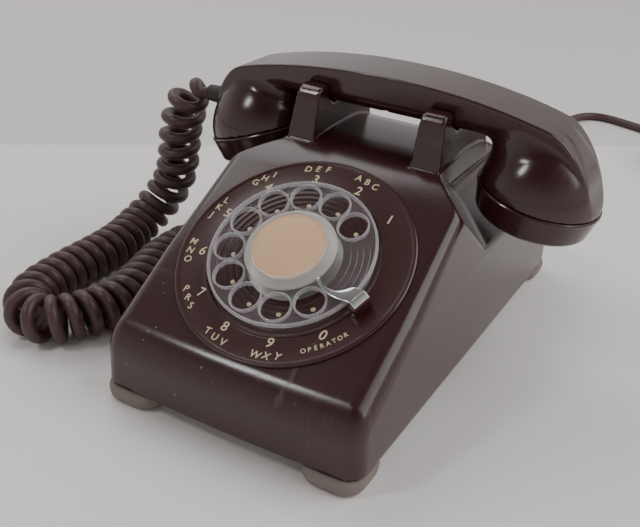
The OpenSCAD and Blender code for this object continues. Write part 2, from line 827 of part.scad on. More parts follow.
module ringer_coils() {
  color([0.75, 0.35, 0.15]) both_sides()
    translate([bell_coil_x, bell_coil_y[0] + 0.05, bell_coil_z]) rotate([-90, 0, 0]) {
      len = bell_coil_y[1] - bell_coil_y[0] - 0.3;
      tube_ring(bell_coil_d - 1, core_d + 0.1, len);
      for (t = [0, len - 1]) translate([0, 0, t]) tube_ring(bell_coil_d, core_d + 0.1, 1);
    }
}

module ringer_magnet() {
  color(dark) translate([-4, bell_coil_y[0] + 1, ringer_plate + 0.02])
    cube([8, bell_coil_y[1] - bell_coil_y[0] - 2, bell_coil_z - bell_coil_d / 2 - ringer_plate - 0.5]);
}

// Bell-metal shell of revolution, open below
module gong(side_sign) {
  r = gong_d / 2;
  color(brass) translate([side_sign * gong_x, gong_y, gong_rim]) rotate_extrude()
    polygon([
      [1.6, gong_h - gong_t], [r * 0.42, gong_h - gong_t], [r * 0.72, gong_h - gong_t - 1.6],
      [r * 0.9, gong_h * 0.55], [r - gong_t, 0], [r, 0], [r * 0.94, gong_h * 0.6],
      [r * 0.76, gong_h - 1.3], [r * 0.44, gong_h], [1.6, gong_h]
    ]);
}

module gong_left() { gong(-1); }
module gong_right() { gong(1); }

module gong_screws() {
  color(steel) both_sides() translate([gong_x, gong_y, gong_rim + gong_h + 0.02]) {
    cylinder(d = 6, h = 1.8);
    translate([0, 0, -8]) cylinder(d = 2.3, h = 8);
  }
}

module hook_bracket() {
  half = hook_ear_x + sheet_t;
  web_h = hook_pivot[2] + 7 - plate_top;
  color(steel) difference() {
    union() {
      translate([-half, hook_web_y, plate_top]) cube([2 * half, sheet_t, web_h]);
      translate([-half, hook_web_y - 14, plate_top]) cube([2 * half, 14, sheet_t]);
      both_sides() translate([hook_ear_x, hook_pivot[1] - 5, hook_pivot[2] - 8]) cube([sheet_t, 10.5, 15]);
    }
    translate(hook_pivot) rotate([0, 90, 0]) cylinder(d = hook_pin_d + 2 * run_gap, h = 60, center = true);
  }
}

module hook_springs() {
  color(brass) translate([-9, hook_web_y - 11, hook_pivot[2] - 30]) {
    cube([18, 10.9, 3]);
    translate([0, 0, 9]) cube([18, 10.9, 3]);
    for (i = [0:3]) translate([1.5 + 4.4 * i, 1, 3]) cube([2, 0.8, 6]);
    for (i = [0:3]) translate([1.5 + 4.4 * i, 6, 3]) cube([2, 0.8, 6]);
    for (i = [0:3]) translate([1.5 + 4.4 * i, 3.5, 12]) cube([2, 0.5, 5]);
  }
}

// Forked lever under both plungers, on its own pivot pin
module hook_lever() {
  arm = hook_pivot[1] - cradle_y + 3.5;
  color(steel) difference() {
    union() {
      translate(hook_pivot) rotate([0, 90, 0]) cylinder(d = hook_pin_d, h = 2 * (rail_x + 2), center = true);
      both_sides() translate([rail_x - 3, 0, 0]) {
        translate([0, hook_pivot[1] - arm, hook_pivot[2] - 0.2]) cube([5, arm, 2]);
        translate([0, hook_pivot[1], hook_pivot[2]]) rotate([0, 90, 0]) cylinder(d = 6, h = 5);
      }
      translate([hook_pivot[0] - 3, hook_pivot[1], hook_pivot[2]]) rotate([0, 90, 0]) cylinder(d = 6, h = 6);
      translate([hook_pivot[0] - 3, hook_pivot[1] - 1, hook_pivot[2] - 10]) cube([6, 2, 9]);
    }
  }
}

// Plunger: a pin through the seat with a wider foot under it
module plunger(side_sign) {
  color(dark) translate([side_sign * rail_x, cradle_y, 0]) {
    translate([0, 0, plunger_foot]) cylinder(d = plunger_d, h = seat_z - 0.1 - plunger_foot);
    translate([0, 0, plunger_foot]) cylinder(d = plunger_d + 2, h = 2);
  }
}

module plunger_left() { plunger(-1); }
module plunger_right() { plunger(1); }

// Armature, rod and ball, swinging on a pin between coils and gongs
module clapper() {
  hub = clapper_pin_d + 2 * run_gap;
  color(steel) translate([0, clapper_pivot[1], 0]) difference() {
    union() {
      translate([-bell_coil_x - 3, -1.1, bell_coil_z - 2]) cube([2 * bell_coil_x + 6, 1.8, 6]);
      translate([0, 0, bell_coil_z - 3]) cylinder(d = 5, h = clapper_z + 3 - bell_coil_z + 3);
      translate([0, 2, clapper_z]) rotate([-90, 0, 0]) cylinder(d = 1.8, h = gong_y - clapper_pivot[1] - 3);
      translate([0, gong_y - clapper_pivot[1], clapper_z]) sphere(d = clapper_ball, $fn = 32);
    }
    translate([0, 0, 0]) cylinder(d = hub, h = 60);
  }
}

module volume_wheel() {
  color(dark) translate([volume_at[0], volume_at[1], 0]) {
    difference() {
      translate([0, 0, base_z - 4.2]) cylinder(d = volume_d, h = 4);
      for (i = [0:23]) rotate([0, 0, 15 * i])
        translate([volume_d / 2, 0, base_z - 5]) cylinder(d = 1.4, h = 6);
    }
    translate([0, 0, base_z - 1]) cylinder(d = volume_pin_d, h = 6);
    translate([0, 0, plate_top + 0.2]) cylinder(d = 9, h = 1.6);
  }
}

function grommet_neck() = 9;

// Rubber grommet through a wall: a flange on each side and a nose outside
module grommet(cord_d) {
  color(rubber) difference() {
    union() {
      translate([0, 0, -wall - 2]) cylinder(d = grommet_neck() - 0.2, h = wall + 2.2);
      translate([0, 0, -wall - 2.2]) cylinder(d = grommet_neck() + 3, h = 2);
      translate([0, 0, 0.05]) cylinder(d = grommet_neck() + 3, h = 2);
      translate([0, 0, 2]) cylinder(d1 = grommet_neck() + 1, d2 = cord_d + 2, h = 7);
    }
    translate([0, 0, -20]) cylinder(d = 4, h = 24);
  }
}

module handset_cord_grommet() { translate(handset_entry) rotate([0, -90, 0]) grommet(7.2); }
module line_cord_grommet() { translate(line_entry) rotate([-90, 0, 0]) grommet(line_d); }

// ---------------------------------------------------------------- handset

// Side view of the whole handset above its caps: a long arch with round ends
module handset_arch(w) {
  foot = part_z - 24;
  intersection() {
    translate([grip_mid, 0, grip_top - arch_r]) rotate([90, 0, 0])
      cylinder(r = arch_r, h = w, center = true, $fn = 180);
    union() {
      translate([mouth_r - mouth_reach, -w / 2, foot])
        cube([mouth_reach + ear_reach - mouth_r - ear_r, w, 90]);
      for (e = [[mouth_r - mouth_reach, mouth_r, mouth_z], [ear_reach - ear_r, ear_r, ear_z]]) {
        translate([e[0], 0, e[2]]) rotate([90, 0, 0]) cylinder(r = e[1], h = w, center = true, $fn = 96);
        translate([e[0] - e[1], -w / 2, foot]) cube([2 * e[1], w, e[2] - foot]);
      }
    }
  }
}

// Cross-section of the grip: flat top, sides that lean in, rounded underneath
module grip_section() {
  polygon(outline([
    side(-grip_lean, [grip_w / 2, grip_top]), [90, grip_top + 2],
    side(180 + grip_lean, [-grip_w / 2, grip_top]), [270, -grip_low]
  ], [0, 0, 7, 7]));
}

// Outside of a cup: a dome over its parting plane
module cup_body(side_sign) {
  intersection() {
    at_cup(side_sign) rotate_extrude($fn = 96)
      polygon([
        [0, 0], [cup_r, 0], [cup_r - 0.2, 3], [cup_r - 0.8, 6], [cup_r - 1.8, 9], [cup_r - 3.2, 12],
        [cup_r - 5, 15], [cup_r - 7.1, 18], [cup_r - 9.7, 21], [cup_r - 12.7, 24], [cup_r - 19, 29], [0, 30]
      ]);
    translate([0, cradle_y, 0]) handset_arch(2 * cup_r + 10);
  }
}

// Flat end that goes on from the grip's top down to the parting plane
module end_web(side_sign) {
  low = part_z - 20;
  half = grip_w / 2 - (grip_top - low) * tan(grip_lean);
  intersection() {
    translate([0, cradle_y, 0]) along_x(span)
      polygon([[-half, low], [half, low], [grip_w / 2, grip_top], [-grip_w / 2, grip_top]]);
    at_cup(side_sign) translate([side_sign > 0 ? 0 : -60, -30, 0]) cube(60);
    translate([0, cradle_y, 0]) handset_arch(2 * cup_r);
  }
}

// Curved underside where the grip runs into a cup
module neck(side_sign) {
  r = side_sign < 0 ? 8 : 12;
  a = cup_lean(side_sign);
  x0 = cup_at(side_sign) - cup_r * cos(a) + tan(a) * (grip_low - r - part_z - cup_r * sin(a)) - r + 1.9;
  translate([0, cradle_y, 0]) scale([side_sign, 1, 1]) difference() {
    translate([x0, -11, grip_low - r + 1]) cube([r + 12, 22, r + 2]);
    translate([x0, 0, grip_low - r]) rotate([90, 0, 0]) cylinder(r = r, h = 40, center = true);
  }
}

module handset_shell() {
  color(brown) difference() {
    union() {
      intersection() {
        translate([0, cradle_y, 0]) along_x(span) grip_section();
        translate([0, cradle_y, 0]) handset_arch(grip_w + 10);
      }
      for (s = [-1, 1]) {
        cup_body(s);
        end_web(s);
        neck(s);
        at_cup(s) translate([0, 0, -spigot_h]) cylinder(r = spigot_r, h = spigot_h + 2);
      }
    }
    for (s = [-1, 1]) at_cup(s) {
      translate([0, 0, -spigot_h - 1]) cylinder(r = cup_bore_r, h = spigot_h + 5);
      cylinder(r = 16.5, h = 21);
    }
    translate([grip_mid, cradle_y, grip_low + 7]) rotate([0, 90, 0])
      cylinder(d = 8, h = mouth_x + ear_x - 20, center = true);
    translate([-mouth_x, cradle_y, gland_z]) rotate([0, -90, 0]) cylinder(d = 6, h = 60);
  }
}

// Screw cap: a cup with a rounded rim and a pattern of holes in its face
module screw_cap(side_sign, rings) {
  r = cap_d / 2;
  at_cup(side_sign) difference() {
    translate([0, 0, -cap_h]) rotate_extrude($fn = 96)
      polygon([
        [0, 1.2], [r - 9, 1], [r - 7, 0.3], [r - 4.8, 0], [r - 3.4, 0.8], [r - 2.4, 2.6],
        [r - 0.3, cap_h - 1.5], [r, cap_h - 0.8], [r - 0.5, cap_h - 0.1], [spigot_r + 0.25, cap_h - 0.1],
        [spigot_r + 0.25, cap_h - spigot_h - 0.6], [r - 7, 3.6], [0, 3.6]
      ]);
    for (ring = rings) for (i = [0:ring[1] - 1]) rotate([0, 0, 360 * i / ring[1]])
      translate([ring[0], 0, -cap_h - 1]) cylinder(d = ring[2], h = 8, $fn = 24);
  }
}

module transmitter_cap() {
  color(brown) screw_cap(-1, [[0, 1, 2.4], [5, 6, 2.4], [10, 12, 2.4], [15, 18, 2.4]]);
}

module receiver_cap() {
  color(brown) screw_cap(1, [[0, 1, 2.6], [6, 6, 2.6]]);
}

module transmitter_unit() {
  color(steel) at_cup(-1) {
    translate([0, 0, -spigot_h - 1.4]) cylinder(r = cup_bore_r - 0.3, h = 9);
    translate([0, 0, -spigot_h + 7.6]) cylinder(r = 15.5, h = 6);
  }
}

module receiver_unit() {
  color(dark) at_cup(1) {
    translate([0, 0, -spigot_h - 1.4]) cylinder(r = cup_bore_r - 0.3, h = 10);
    translate([0, 0, -spigot_h + 8.6]) cylinder(r = 14, h = 12);
  }
}

// Rubber relief where the curly cord leaves the transmitter end
module handset_cord_gland() {
  color(rubber) translate([gland_x, cradle_y, gland_z]) rotate([0, -90, 0]) {
    cylinder(d1 = gland_d + 1, d2 = gland_d - 1, h = gland_l);
    translate([0, 0, -7]) cylinder(d = 5.8, h = 8);
  }
}

// ---------------------------------------------------------------- cords

module handset_cord() {
  last = len(handset_cord_route) - 1;
  full = len(cord_ease) - 1;
  radii = [for (i = [0:last]) curl_d / 2 * cord_ease[min(i, last - i, full)]];
  color(cord_brown) route_tube(handset_cord_route, radii, 10);
}

module line_cord() {
  color(cord_brown) route_tube(line_cord_route, [for (p = line_cord_route) line_d / 2], 8);
}

module line_cord_end() {
  color(cord_brown) route_tube(line_end_route, [for (p = line_end_route) line_d / 2], 8);
}

module line_cord_coil() {
  color(cord_brown) translate(coil_at) rotate_extrude()
    translate([coil_d / 2, coil_turn_h / 2]) rounded_rect(coil_turn_w, coil_turn_h, 3);
}

// Wire tie around the bundle of turns
module line_cord_tie() {
  grown = [coil_turn_w + 0.1, 0, coil_turn_h + 0.1];
  color(dark) translate([coil_at[0] - coil_d / 2, coil_at[1], coil_at[2] + coil_turn_h / 2])
    difference() {
      cube(grown + [2 * tie_t, 6, 2 * tie_t - 0.1], center = true);
      cube(grown + [0, 8, 0], center = true);
    }
}

// Four-pin plug on the end of the line cord, one pin thicker than the rest
module line_plug() {
  color(dark) translate(plug_at) rotate([90, 0, 0]) {
    cylinder(d = plug_d, h = plug_l);
    translate([0, 0, -plug_neck]) cylinder(d1 = line_d + 4, d2 = plug_d - 12, h = plug_neck);
    for (x = [-1, 1], y = [-1, 1]) translate([x * plug_pin / 2, y * plug_pin / 2, plug_l])
      cylinder(d = x > 0 && y > 0 ? 4.6 : 3.8, h = plug_pin);
  }
}

// ---------------------------------------------------------------- assembly

housing();
base_plate();
foot_front_left();
foot_front_right();
foot_rear_left();
foot_rear_right();
housing_screws();
number_ring();
finger_stop();
dial_frame();
dial_brackets();
dial_screws();
return_spring();
governor_cup();
pulse_springs();
network_box();
network_terminals();
capacitor();
ringer_frame();
ringer_core();
ringer_coils();
ringer_magnet();
gong_left();
gong_right();
gong_screws();
hook_bracket();
hook_springs();
handset_cord_grommet();
line_cord_grommet();
finger_wheel();
card_holder();
number_card();
card_window();
dial_shaft();
main_gear();
pulse_pinion();
governor();
plunger_left();
plunger_right();
hook_lever();
clapper();
volume_wheel();
handset_shell();
transmitter_cap();
receiver_cap();
transmitter_unit();
receiver_unit();
handset_cord_gland();
handset_cord();
line_cord();
line_cord_end();
line_cord_coil();
line_cord_tie();
line_plug();
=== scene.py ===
"""Looks of a rotary desk telephone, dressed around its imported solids.

Sizes are millimetres in the frame of the solids: the dial faces -Y, +Z is up, and the
set stands on z = 0. Meshes are made in millimetres and stored in metres.
"""
import logging
from dataclasses import dataclass, field
from enum import Enum
from functools import cached_property, partialmethod
from math import acos, atan2, cos, pi, radians, sin, tan
from typing import Any, Callable, Sequence

import bmesh
import bpy
import numpy as np
from mathutils import Matrix, Vector
from numpy.linalg import norm


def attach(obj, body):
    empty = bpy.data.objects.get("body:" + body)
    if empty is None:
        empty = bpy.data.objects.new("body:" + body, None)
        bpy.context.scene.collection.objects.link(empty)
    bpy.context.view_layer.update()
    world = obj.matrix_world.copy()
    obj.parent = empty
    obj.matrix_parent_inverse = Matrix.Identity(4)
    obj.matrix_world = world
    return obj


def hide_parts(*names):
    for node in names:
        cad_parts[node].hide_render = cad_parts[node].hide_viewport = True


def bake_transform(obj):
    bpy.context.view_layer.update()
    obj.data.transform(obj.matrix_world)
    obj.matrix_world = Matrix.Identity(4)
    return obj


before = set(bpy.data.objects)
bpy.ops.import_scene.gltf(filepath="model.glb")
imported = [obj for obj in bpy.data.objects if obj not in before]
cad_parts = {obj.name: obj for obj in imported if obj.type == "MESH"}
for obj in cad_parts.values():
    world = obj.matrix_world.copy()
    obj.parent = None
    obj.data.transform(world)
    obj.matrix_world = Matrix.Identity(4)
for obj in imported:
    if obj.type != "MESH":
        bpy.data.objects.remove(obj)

logging.basicConfig(level=logging.INFO, format="%(message)s")
LOG = logging.getLogger("telephone")
MM = 0.001
TAU = 2 * pi
MIX_INPUTS, MIX_OUTPUT = (0, 6, 7), 2  # a Mix node's sockets for a factor and colours
SETTLING_STEPS = 4  # moves that bring a moulded net's points onto the skin
CAPITAL_HEIGHT = 0.7  # of the built-in font, for a text size of 1
CRADLE_Y = 21.5  # the middle of the cradle and of the handset
DIAL_CENTRE = (0, -66.94, 67.59)
DIAL_TILT = 30.7
FACE_NORMAL = (-0.51054, 0.85985)  # of the face that the dial lies on, in Y and Z
EDGE_SLOPE, EDGE_Y = 0.7706, 0.3273  # the line on the table where its far part starts
Array = np.ndarray
Pair = tuple[float, float]
Triple = tuple[float, float, float]
Scalar = Callable[[Array, Array, Array], Array]
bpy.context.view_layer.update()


# ---------------- shader maths


class Value:
    """A socket that Python's operators work on, one Math node for each operation."""

    def __init__(self, web: "Web", socket: Any) -> None:
        """Wraps a number socket of the web's tree."""
        self.web, self.socket = web, socket

    def apply(self, operation: str, *others: Any) -> "Value":
        """Adds a Math node.

        Args:
            operation: what the node does.
            others: its further inputs, values or numbers.

        Returns:
            The result as a value.
        """
        node = self.web.node("ShaderNodeMath", {"operation": operation},
                             dict(enumerate((self, *others))))
        return Value(self.web, node.outputs[0])

    __add__ = partialmethod(apply, "ADD")
    __sub__ = partialmethod(apply, "SUBTRACT")
    __mul__ = partialmethod(apply, "MULTIPLY")
    __pow__ = partialmethod(apply, "POWER")
    below = partialmethod(apply, "LESS_THAN")

    def clamp(self) -> "Value":
        """This, held between 0 and 1."""
        return self.apply("MAXIMUM", 0.0).apply("MINIMUM", 1.0)

    def ramp(self, low: float, high: float) -> "Value":
        """0 at low, 1 at high, straight between them and held outside."""
        return ((self - low) * (1 / (high - low))).clamp()


def opaque(value: Any) -> Any:
    """A colour with its alpha; anything else as it is."""
    return (*value, 1.0) if isinstance(value, tuple) and len(value) == 3 else value


class Web:
    """The node tree of a material or a world."""

    def __init__(self, owner: Any) -> None:
        """Empties the tree of a new material or world."""
        self.owner = owner
        owner.use_nodes = True
        self.tree = owner.node_tree
        self.tree.nodes.clear()

    def node(self, kind: str, settings: dict | None = None, inputs: dict | None = None) -> Any:
        """Adds a node.

        Args:
            kind: the node's type.
            settings: attributes that are set before the inputs.
            inputs: socket name or number to a number, a colour, a Value or a socket.

        Returns:
            The new node.
        """
        node = self.tree.nodes.new(kind)
        for key, value in (settings or {}).items():
            setattr(node, key, value)
        for key, value in (inputs or {}).items():
            source = value.socket if isinstance(value, Value) else value
            if isinstance(source, bpy.types.NodeSocket):
                self.tree.links.new(source, node.inputs[key])
            else:
                node.inputs[key].default_value = opaque(source)
        return node

    @cached_property
    def coords(self) -> Any:
        """The object coordinates, which are the frame's own, in metres."""
        return self.node("ShaderNodeTexCoord").outputs["Object"]

    def axes(self, source: Any) -> tuple[Value, Value, Value]:
        """The three parts of a vector."""
        split = self.node("ShaderNodeSeparateXYZ", None, {0: source})
        return tuple(Value(self, out) for out in split.outputs)

    def placed(self, scale: tuple, turn: tuple = (0, 0, 0)) -> Any:
        """Object coordinates, turned and scaled by a Mapping node.

        Args:
            scale: factor along each axis.
            turn: angle about each axis.

        Returns:
            The coordinates' socket.
        """
        node = self.node("ShaderNodeMapping", None, {"Vector": self.coords})
        node.inputs["Scale"].default_value = scale
        node.inputs["Rotation"].default_value = turn
        return node.outputs[0]

    def noise(self, scale: float, detail: float = 3.0, vector: Any = None) -> Value:
        """Noise of a scale in cells a metre."""
        node = self.node("ShaderNodeTexNoise", None,
                         {"Vector": vector or self.coords, "Scale": scale, "Detail": detail})
        return Value(self, node.outputs["Fac"])

    def cells(self, scale: float) -> Value:
        """Distance to the nearest of scattered points, in cell sizes."""
        node = self.node("ShaderNodeTexVoronoi", None, {"Vector": self.coords, "Scale": scale})
        return Value(self, node.outputs["Distance"])

    def blend(self, amount: Value, first: Any, second: Any) -> Any:
        """The colour between two colours or colour sockets: the first where amount is 0."""
        node = self.node("ShaderNodeMix", {"data_type": "RGBA"},
                         dict(zip(MIX_INPUTS, (amount, first, second))))
        return node.outputs[MIX_OUTPUT]

    def bump(self, height: Value, distance: float) -> Any:
        """A Normal from a height of 0 to 1 that stands for a distance in metres."""
        return self.node("ShaderNodeBump", None, {"Height": height, "Distance": distance,
                                                  "Strength": 1.0}).outputs[0]

    def surface(self, **inputs: Any) -> bpy.types.Material:
        """Ends the material in a Principled shader.

        Args:
            inputs: the shader's sockets, with _ for a space in their names.

        Returns:
            The finished material.
        """
        shader = self.node("ShaderNodeBsdfPrincipled", None,
                           {key.replace("_", " "): value for key, value in inputs.items()})
        self.node("ShaderNodeOutputMaterial", None, {0: shader.outputs[0]})
        return self.owner


# ---------------- finishes


@dataclass(frozen=True)
class Look:
    """What every finish has."""

    name: str
    colour: Triple

    def shade(self, times: float, plus: float = 0.0) -> tuple:
        """The colour, made lighter or darker."""
        return tuple(min(1.0, c * times + plus) for c in self.colour)

    def web(self) -> Web:
        """The tree of a new material."""
        return Web(bpy.data.materials.new(self.name))


@dataclass(frozen=True)
class Moulding(Look):
    """Glossy moulded plastic with handling scratches and faint mottling."""

    roughness: float = 0.16
    scratches: float = 1.0
    chips: bool = False

    def make(self) -> bpy.types.Material:
        """Builds the material."""
        web = self.web()
        mottle = web.noise(42, 4)
        haze = web.noise(11, 3).ramp(0.35, 0.75)
        fine = web.noise(900, 2)
        rub = web.noise(260, 3, web.placed((1, 0.05, 0.3), (0.3, 0.2, 0.7))).ramp(0.62, 0.7)
        rub2 = web.noise(300, 2, web.placed((0.06, 1, 0.4), (0.1, 0.5, -0.5))).ramp(0.64, 0.7)
        marks = ((rub + rub2) * haze * self.scratches).clamp()
        tone = web.blend(mottle * 0.5, self.colour, self.shade(1.5, 0.002))
        tone = web.blend(marks * 0.16, tone, (0.32, 0.26, 0.24))
        roughness = marks * 0.2 + haze * 0.06 + fine * 0.03 + self.roughness
        if self.chips:
            wear = self.wear(web)
            tone = web.blend(wear * 0.5, tone, (0.42, 0.36, 0.33))
            roughness = roughness + wear * 0.4
        normal = web.bump(fine * 0.25 + marks * -0.4 + mottle * 0.35, 0.00006)
        return web.surface(Base_Color=tone, Roughness=roughness, Normal=normal, IOR=1.58)

    def wear(self, web: Web) -> Value:
        """Chips and short streaks on the left of the set, low and at the front.

        Args:
            web: the material's tree.

        Returns:
            How worn a place is, from 0 to 1.
        """
        x, y, z = web.axes(web.coords)
        low = (z * -1).ramp(-0.062, -0.034) * (y * -1).ramp(0.04, 0.09)
        low = low * (x * -1).ramp(-0.05, 0.02)
        dots = web.cells(230).below(0.13) * web.noise(60, 2).ramp(0.52, 0.6) * low
        grain = web.placed((1, 0.35, 0.12), (0.2, 0.1, 0.9))
        streak = web.noise(130, 2, grain).ramp(0.7, 0.74) * low
        return (dots + streak * 0.5).clamp()


@dataclass(frozen=True)
class Metal(Look):
    """Bare or plated metal with fine brushing."""

    roughness: float = 0.3

    def make(self) -> bpy.types.Material:
        """Builds the material."""
        web = self.web()
        brushed = web.noise(900, 2, web.placed((1, 0.04, 1)))
        stain = web.noise(35, 4).ramp(0.4, 0.75)
        return web.surface(Base_Color=web.blend(stain * 0.35, self.colour, self.shade(0.6)),
                           Roughness=brushed * 0.12 + stain * 0.12 + self.roughness,
                           Normal=web.bump(brushed, 0.00002), Metallic=1.0)


@dataclass(frozen=True)
class Matt(Look):
    """Rubber, card, potting or wire lacquer: a matt colour with a grain."""

    roughness: float = 0.6
    grain: float = 600.0
    depth: float = 0.00008
    dust: float = 0.25

    def make(self) -> bpy.types.Material:
        """Builds the material."""
        web = self.web()
        grain = web.noise(self.grain, 3)
        patch = web.noise(55, 4).ramp(0.42, 0.72)
        tone = web.blend(grain * 0.5, self.colour, self.shade(0.72))
        tone = web.blend(patch * self.dust, tone, self.shade(1.35, 0.03))
        return web.surface(Base_Color=tone, Normal=web.bump(grain, self.depth),
                           Roughness=grain * 0.15 + patch * 0.08 + self.roughness)


@dataclass(frozen=True)
class Clear(Look):
    """Clear moulded plastic that shows most at its edges, with fine hairlines."""

    face: float = 0.06
    edge: float = 0.6

    def make(self) -> bpy.types.Material:
        """Builds the material."""
        web = self.web()
        weight = web.node("ShaderNodeLayerWeight", None, {"Blend": 0.35})
        rim = Value(web, weight.outputs["Facing"])
        hair = web.noise(240, 3, web.placed((1, 0.06, 1), (0.2, 0.1, 0.8))).ramp(0.63, 0.7)
        cloud = web.noise(60, 3).ramp(0.4, 0.8)
        seen = ((rim ** 2.2) * self.edge + hair * 0.04 + cloud * 0.01 + self.face).clamp()
        return web.surface(Base_Color=self.colour, Alpha=seen, IOR=1.49,
                           Roughness=hair * 0.2 + cloud * 0.05 + 0.04,
                           Normal=web.bump(hair * -1, 0.00003))


class Finish(Enum):
    """Every finish on the telephone, by the piece or stuff it is for."""

    HOUSING = Moulding("housing_moulding", (0.0340, 0.0088, 0.0092), scratches=0.3, chips=True)
    HANDSET = Moulding("handset_moulding", (0.0340, 0.0088, 0.0092), 0.15, 0.3)
    RING = Moulding("ring_moulding", (0.0400, 0.0100, 0.0100), 0.17, 0.25)
    TRIM = Moulding("dark_trim", (0.012, 0.008, 0.008), 0.35, 0.3)
    CLEAR = Clear("clear_wheel", (0.80, 0.76, 0.80), 0.035, 0.35)
    WINDOW = Clear("clear_window", (0.92, 0.90, 0.90), 0.04, 0.8)
    # the wheel's own clear plastic made paler and more opaque: a painted highlight on its hole lips
    # and edge
    RIM = Clear("clear_rim_painted_highlight", (0.84, 0.81, 0.84), 0.22, 0.75)
    BEZEL = Clear("clear_bezel", (0.86, 0.80, 0.74), 0.34, 0.62)
    CARD = Matt("card_paper", (0.92, 0.58, 0.30), 0.75, 900, 0.00003, 0.15)
    INK = Matt("cream_print", (0.74, 0.66, 0.40), 0.5, 900, 0.00001, 0.1)
    FOOT = Matt("foot_rubber", (0.112, 0.070, 0.066), 0.7, 500, 0.00015, 0.4)
    CORD = Matt("cord_jacket", (0.078, 0.038, 0.036), 0.32, 500, 0.00004, 0.15)
    GLAND = Matt("gland_rubber", (0.028, 0.017, 0.017), 0.45)
    STEEL = Metal("polished_steel", (0.66, 0.65, 0.63), 0.16)
    PLATED = Metal("plated_steel", (0.55, 0.54, 0.50), 0.34)
    SPRING = Metal("blued_spring", (0.20, 0.23, 0.30), 0.3)
    BRASS = Metal("brass", (0.72, 0.52, 0.22), 0.28)
    BELL = Metal("bell_metal", (0.78, 0.60, 0.30), 0.2)
    CAN = Metal("can_aluminium", (0.70, 0.70, 0.72), 0.36)
    WINDING = Matt("coil_winding", (0.42, 0.15, 0.06), 0.4, 1400, 0.00012)
    MAGNET = Matt("magnet_iron", (0.045, 0.045, 0.047), 0.55)
    POTTING = Matt("potted_box", (0.24, 0.22, 0.17), 0.65)

    @property
    def material(self) -> bpy.types.Material:
        """The finish's material, built when it is first used."""
        return bpy.data.materials.get(self.value.name) or self.value.make()


# ---------------- surfaces


@dataclass
class Skin:
    """A mesh in numbers: points in millimetres, four-cornered and three-cornered faces."""

    points: Array
    quads: Array
    triangles: Array = field(default_factory=lambda: np.zeros((0, 3), int))
    normals: Array | None = None

    def placed(self, matrix: Matrix) -> "Skin":
        """The same mesh after a turn and a shift, in millimetres."""
        m = np.array(matrix)
        return Skin(self.points @ m[:3, :3].T + m[:3, 3], self.quads, self.triangles)

    def joined(self, other: "Skin") -> "Skin":
        """This mesh and another as one, with nothing merged."""
        n = len(self.points)
        return Skin(np.vstack([self.points, other.points]),
                    np.vstack([self.quads, other.quads + n]),
                    np.vstack([self.triangles, other.triangles + n]))


def empty_skin() -> Skin:
    """A mesh without points, to join others to."""
    return Skin(np.zeros((0, 3)), np.zeros((0, 4), int))


def grid_quads(rows: int, cols: int) -> Array:
    """Faces of a grid of points whose last column joins the first.

    Args:
        rows: points along the first parameter.
        cols: points along the second parameter.

    Returns:
        Four point numbers a face.
    """
    i, j = np.meshgrid(np.arange(rows - 1), np.arange(cols), indexing="ij")
    k = (j + 1) % cols
    lower, upper = i * cols, (i + 1) * cols
    return np.stack([lower + j, lower + k, upper + k, upper + j], -1).reshape(-1, 4)


def rounded(corners: Sequence[Triple], steps: int = 5) -> Array:
    """Points of an open outline whose corners are rounded by arcs.

    An arc of radius r touches both sides of its corner: it starts r / tan(half the angle
    between them) before the corner, and its centre lies on the bisector.

    Args:
        corners: x, y and radius of each corner; the ends' radii count for nothing.
        steps: segments on each arc.

    Returns:
        The points, one row each.
    """
    spots = np.array([c[:2] for c in corners], float)
    out = [spots[:1]]
    for before, here, after, (_, _, r) in zip(spots, spots[1:], spots[2:], corners[1:]):
        a, b = before - here, after - here
        a, b = a / norm(a), b / norm(b)
        half = acos(float(np.clip(a @ b, -1, 1))) / 2
        if r <= 0 or half > pi / 2 - 0.01:
            out.append(here[None])
            continue
        centre = here + (a + b) / norm(a + b) * r / sin(half)
        start, stop = (here + side * r / tan(half) - centre for side in (a, b))
        sweep = atan2(start[0] * stop[1] - start[1] * stop[0], start @ stop)
        t = np.linspace(0, sweep, steps + 1)[:, None]
        out.append(centre + np.cos(t) * start + np.sin(t) * np.array([-start[1], start[0]]))
    out.append(spots[-1:])
    return np.vstack(out)


def revolve(profile: Array, steps: int = 128) -> Skin:
    """Turns a profile about Z: x = r cos t, y = r sin t, z = h.

    Args:
        profile: radius and height of each point, anticlockwise round the wall. It is
            closed on itself unless both its ends lie on the axis.
        steps: points round the axis.

    Returns:
        The closed skin.
    """
    if profile[0, 0] > 1e-6 or profile[-1, 0] > 1e-6:
        profile = np.vstack([profile, profile[:1]])
    t = np.arange(steps) * TAU / steps
    r, h = profile[:, :1], profile[:, 1:]
    points = np.stack([r * np.cos(t), r * np.sin(t), h + 0 * t], -1).reshape(-1, 3)
    return Skin(points, grid_quads(len(profile), steps)[:, ::-1])


def loft(loops: Array) -> Skin:
    """Joins a stack of loops and closes both ends, with faces that meet at their middles.

    Args:
        loops: points by loop, by place round the loop, by axis.

    Returns:
        The closed skin.
    """
    rows, cols, _ = loops.shape
    middles = loops[[0, -1]].mean(1)
    points = np.vstack([loops.reshape(-1, 3), middles])
    j = np.arange(cols)
    k = (j + 1) % cols
    first = np.stack([k, j, 0 * j + rows * cols], -1)
    last = np.stack([j + (rows - 1) * cols, k + (rows - 1) * cols, 0 * j + rows * cols + 1], -1)
    return Skin(points, grid_quads(rows, cols), np.vstack([first, last]))


def lengths(path: Array) -> Array:
    """The way along a path to each of its points."""
    return np.concatenate([[0], np.cumsum(norm(np.diff(path, axis=0), axis=1))])


def across(path: Array, flat: Array) -> tuple[Array, Array]:
    """Two directions square to a path and to each other, at each of its points.

    Args:
        path: points of the path.
        flat: a direction that the first is square to as well.

    Returns:
        u = flat x ahead, made one long, and v = ahead x u.
    """
    ahead = np.gradient(path, axis=0)
    ahead /= norm(ahead, axis=1)[:, None]
    u = np.cross(flat, ahead)
    u /= norm(u, axis=1)[:, None]
    return u, np.cross(ahead, u)


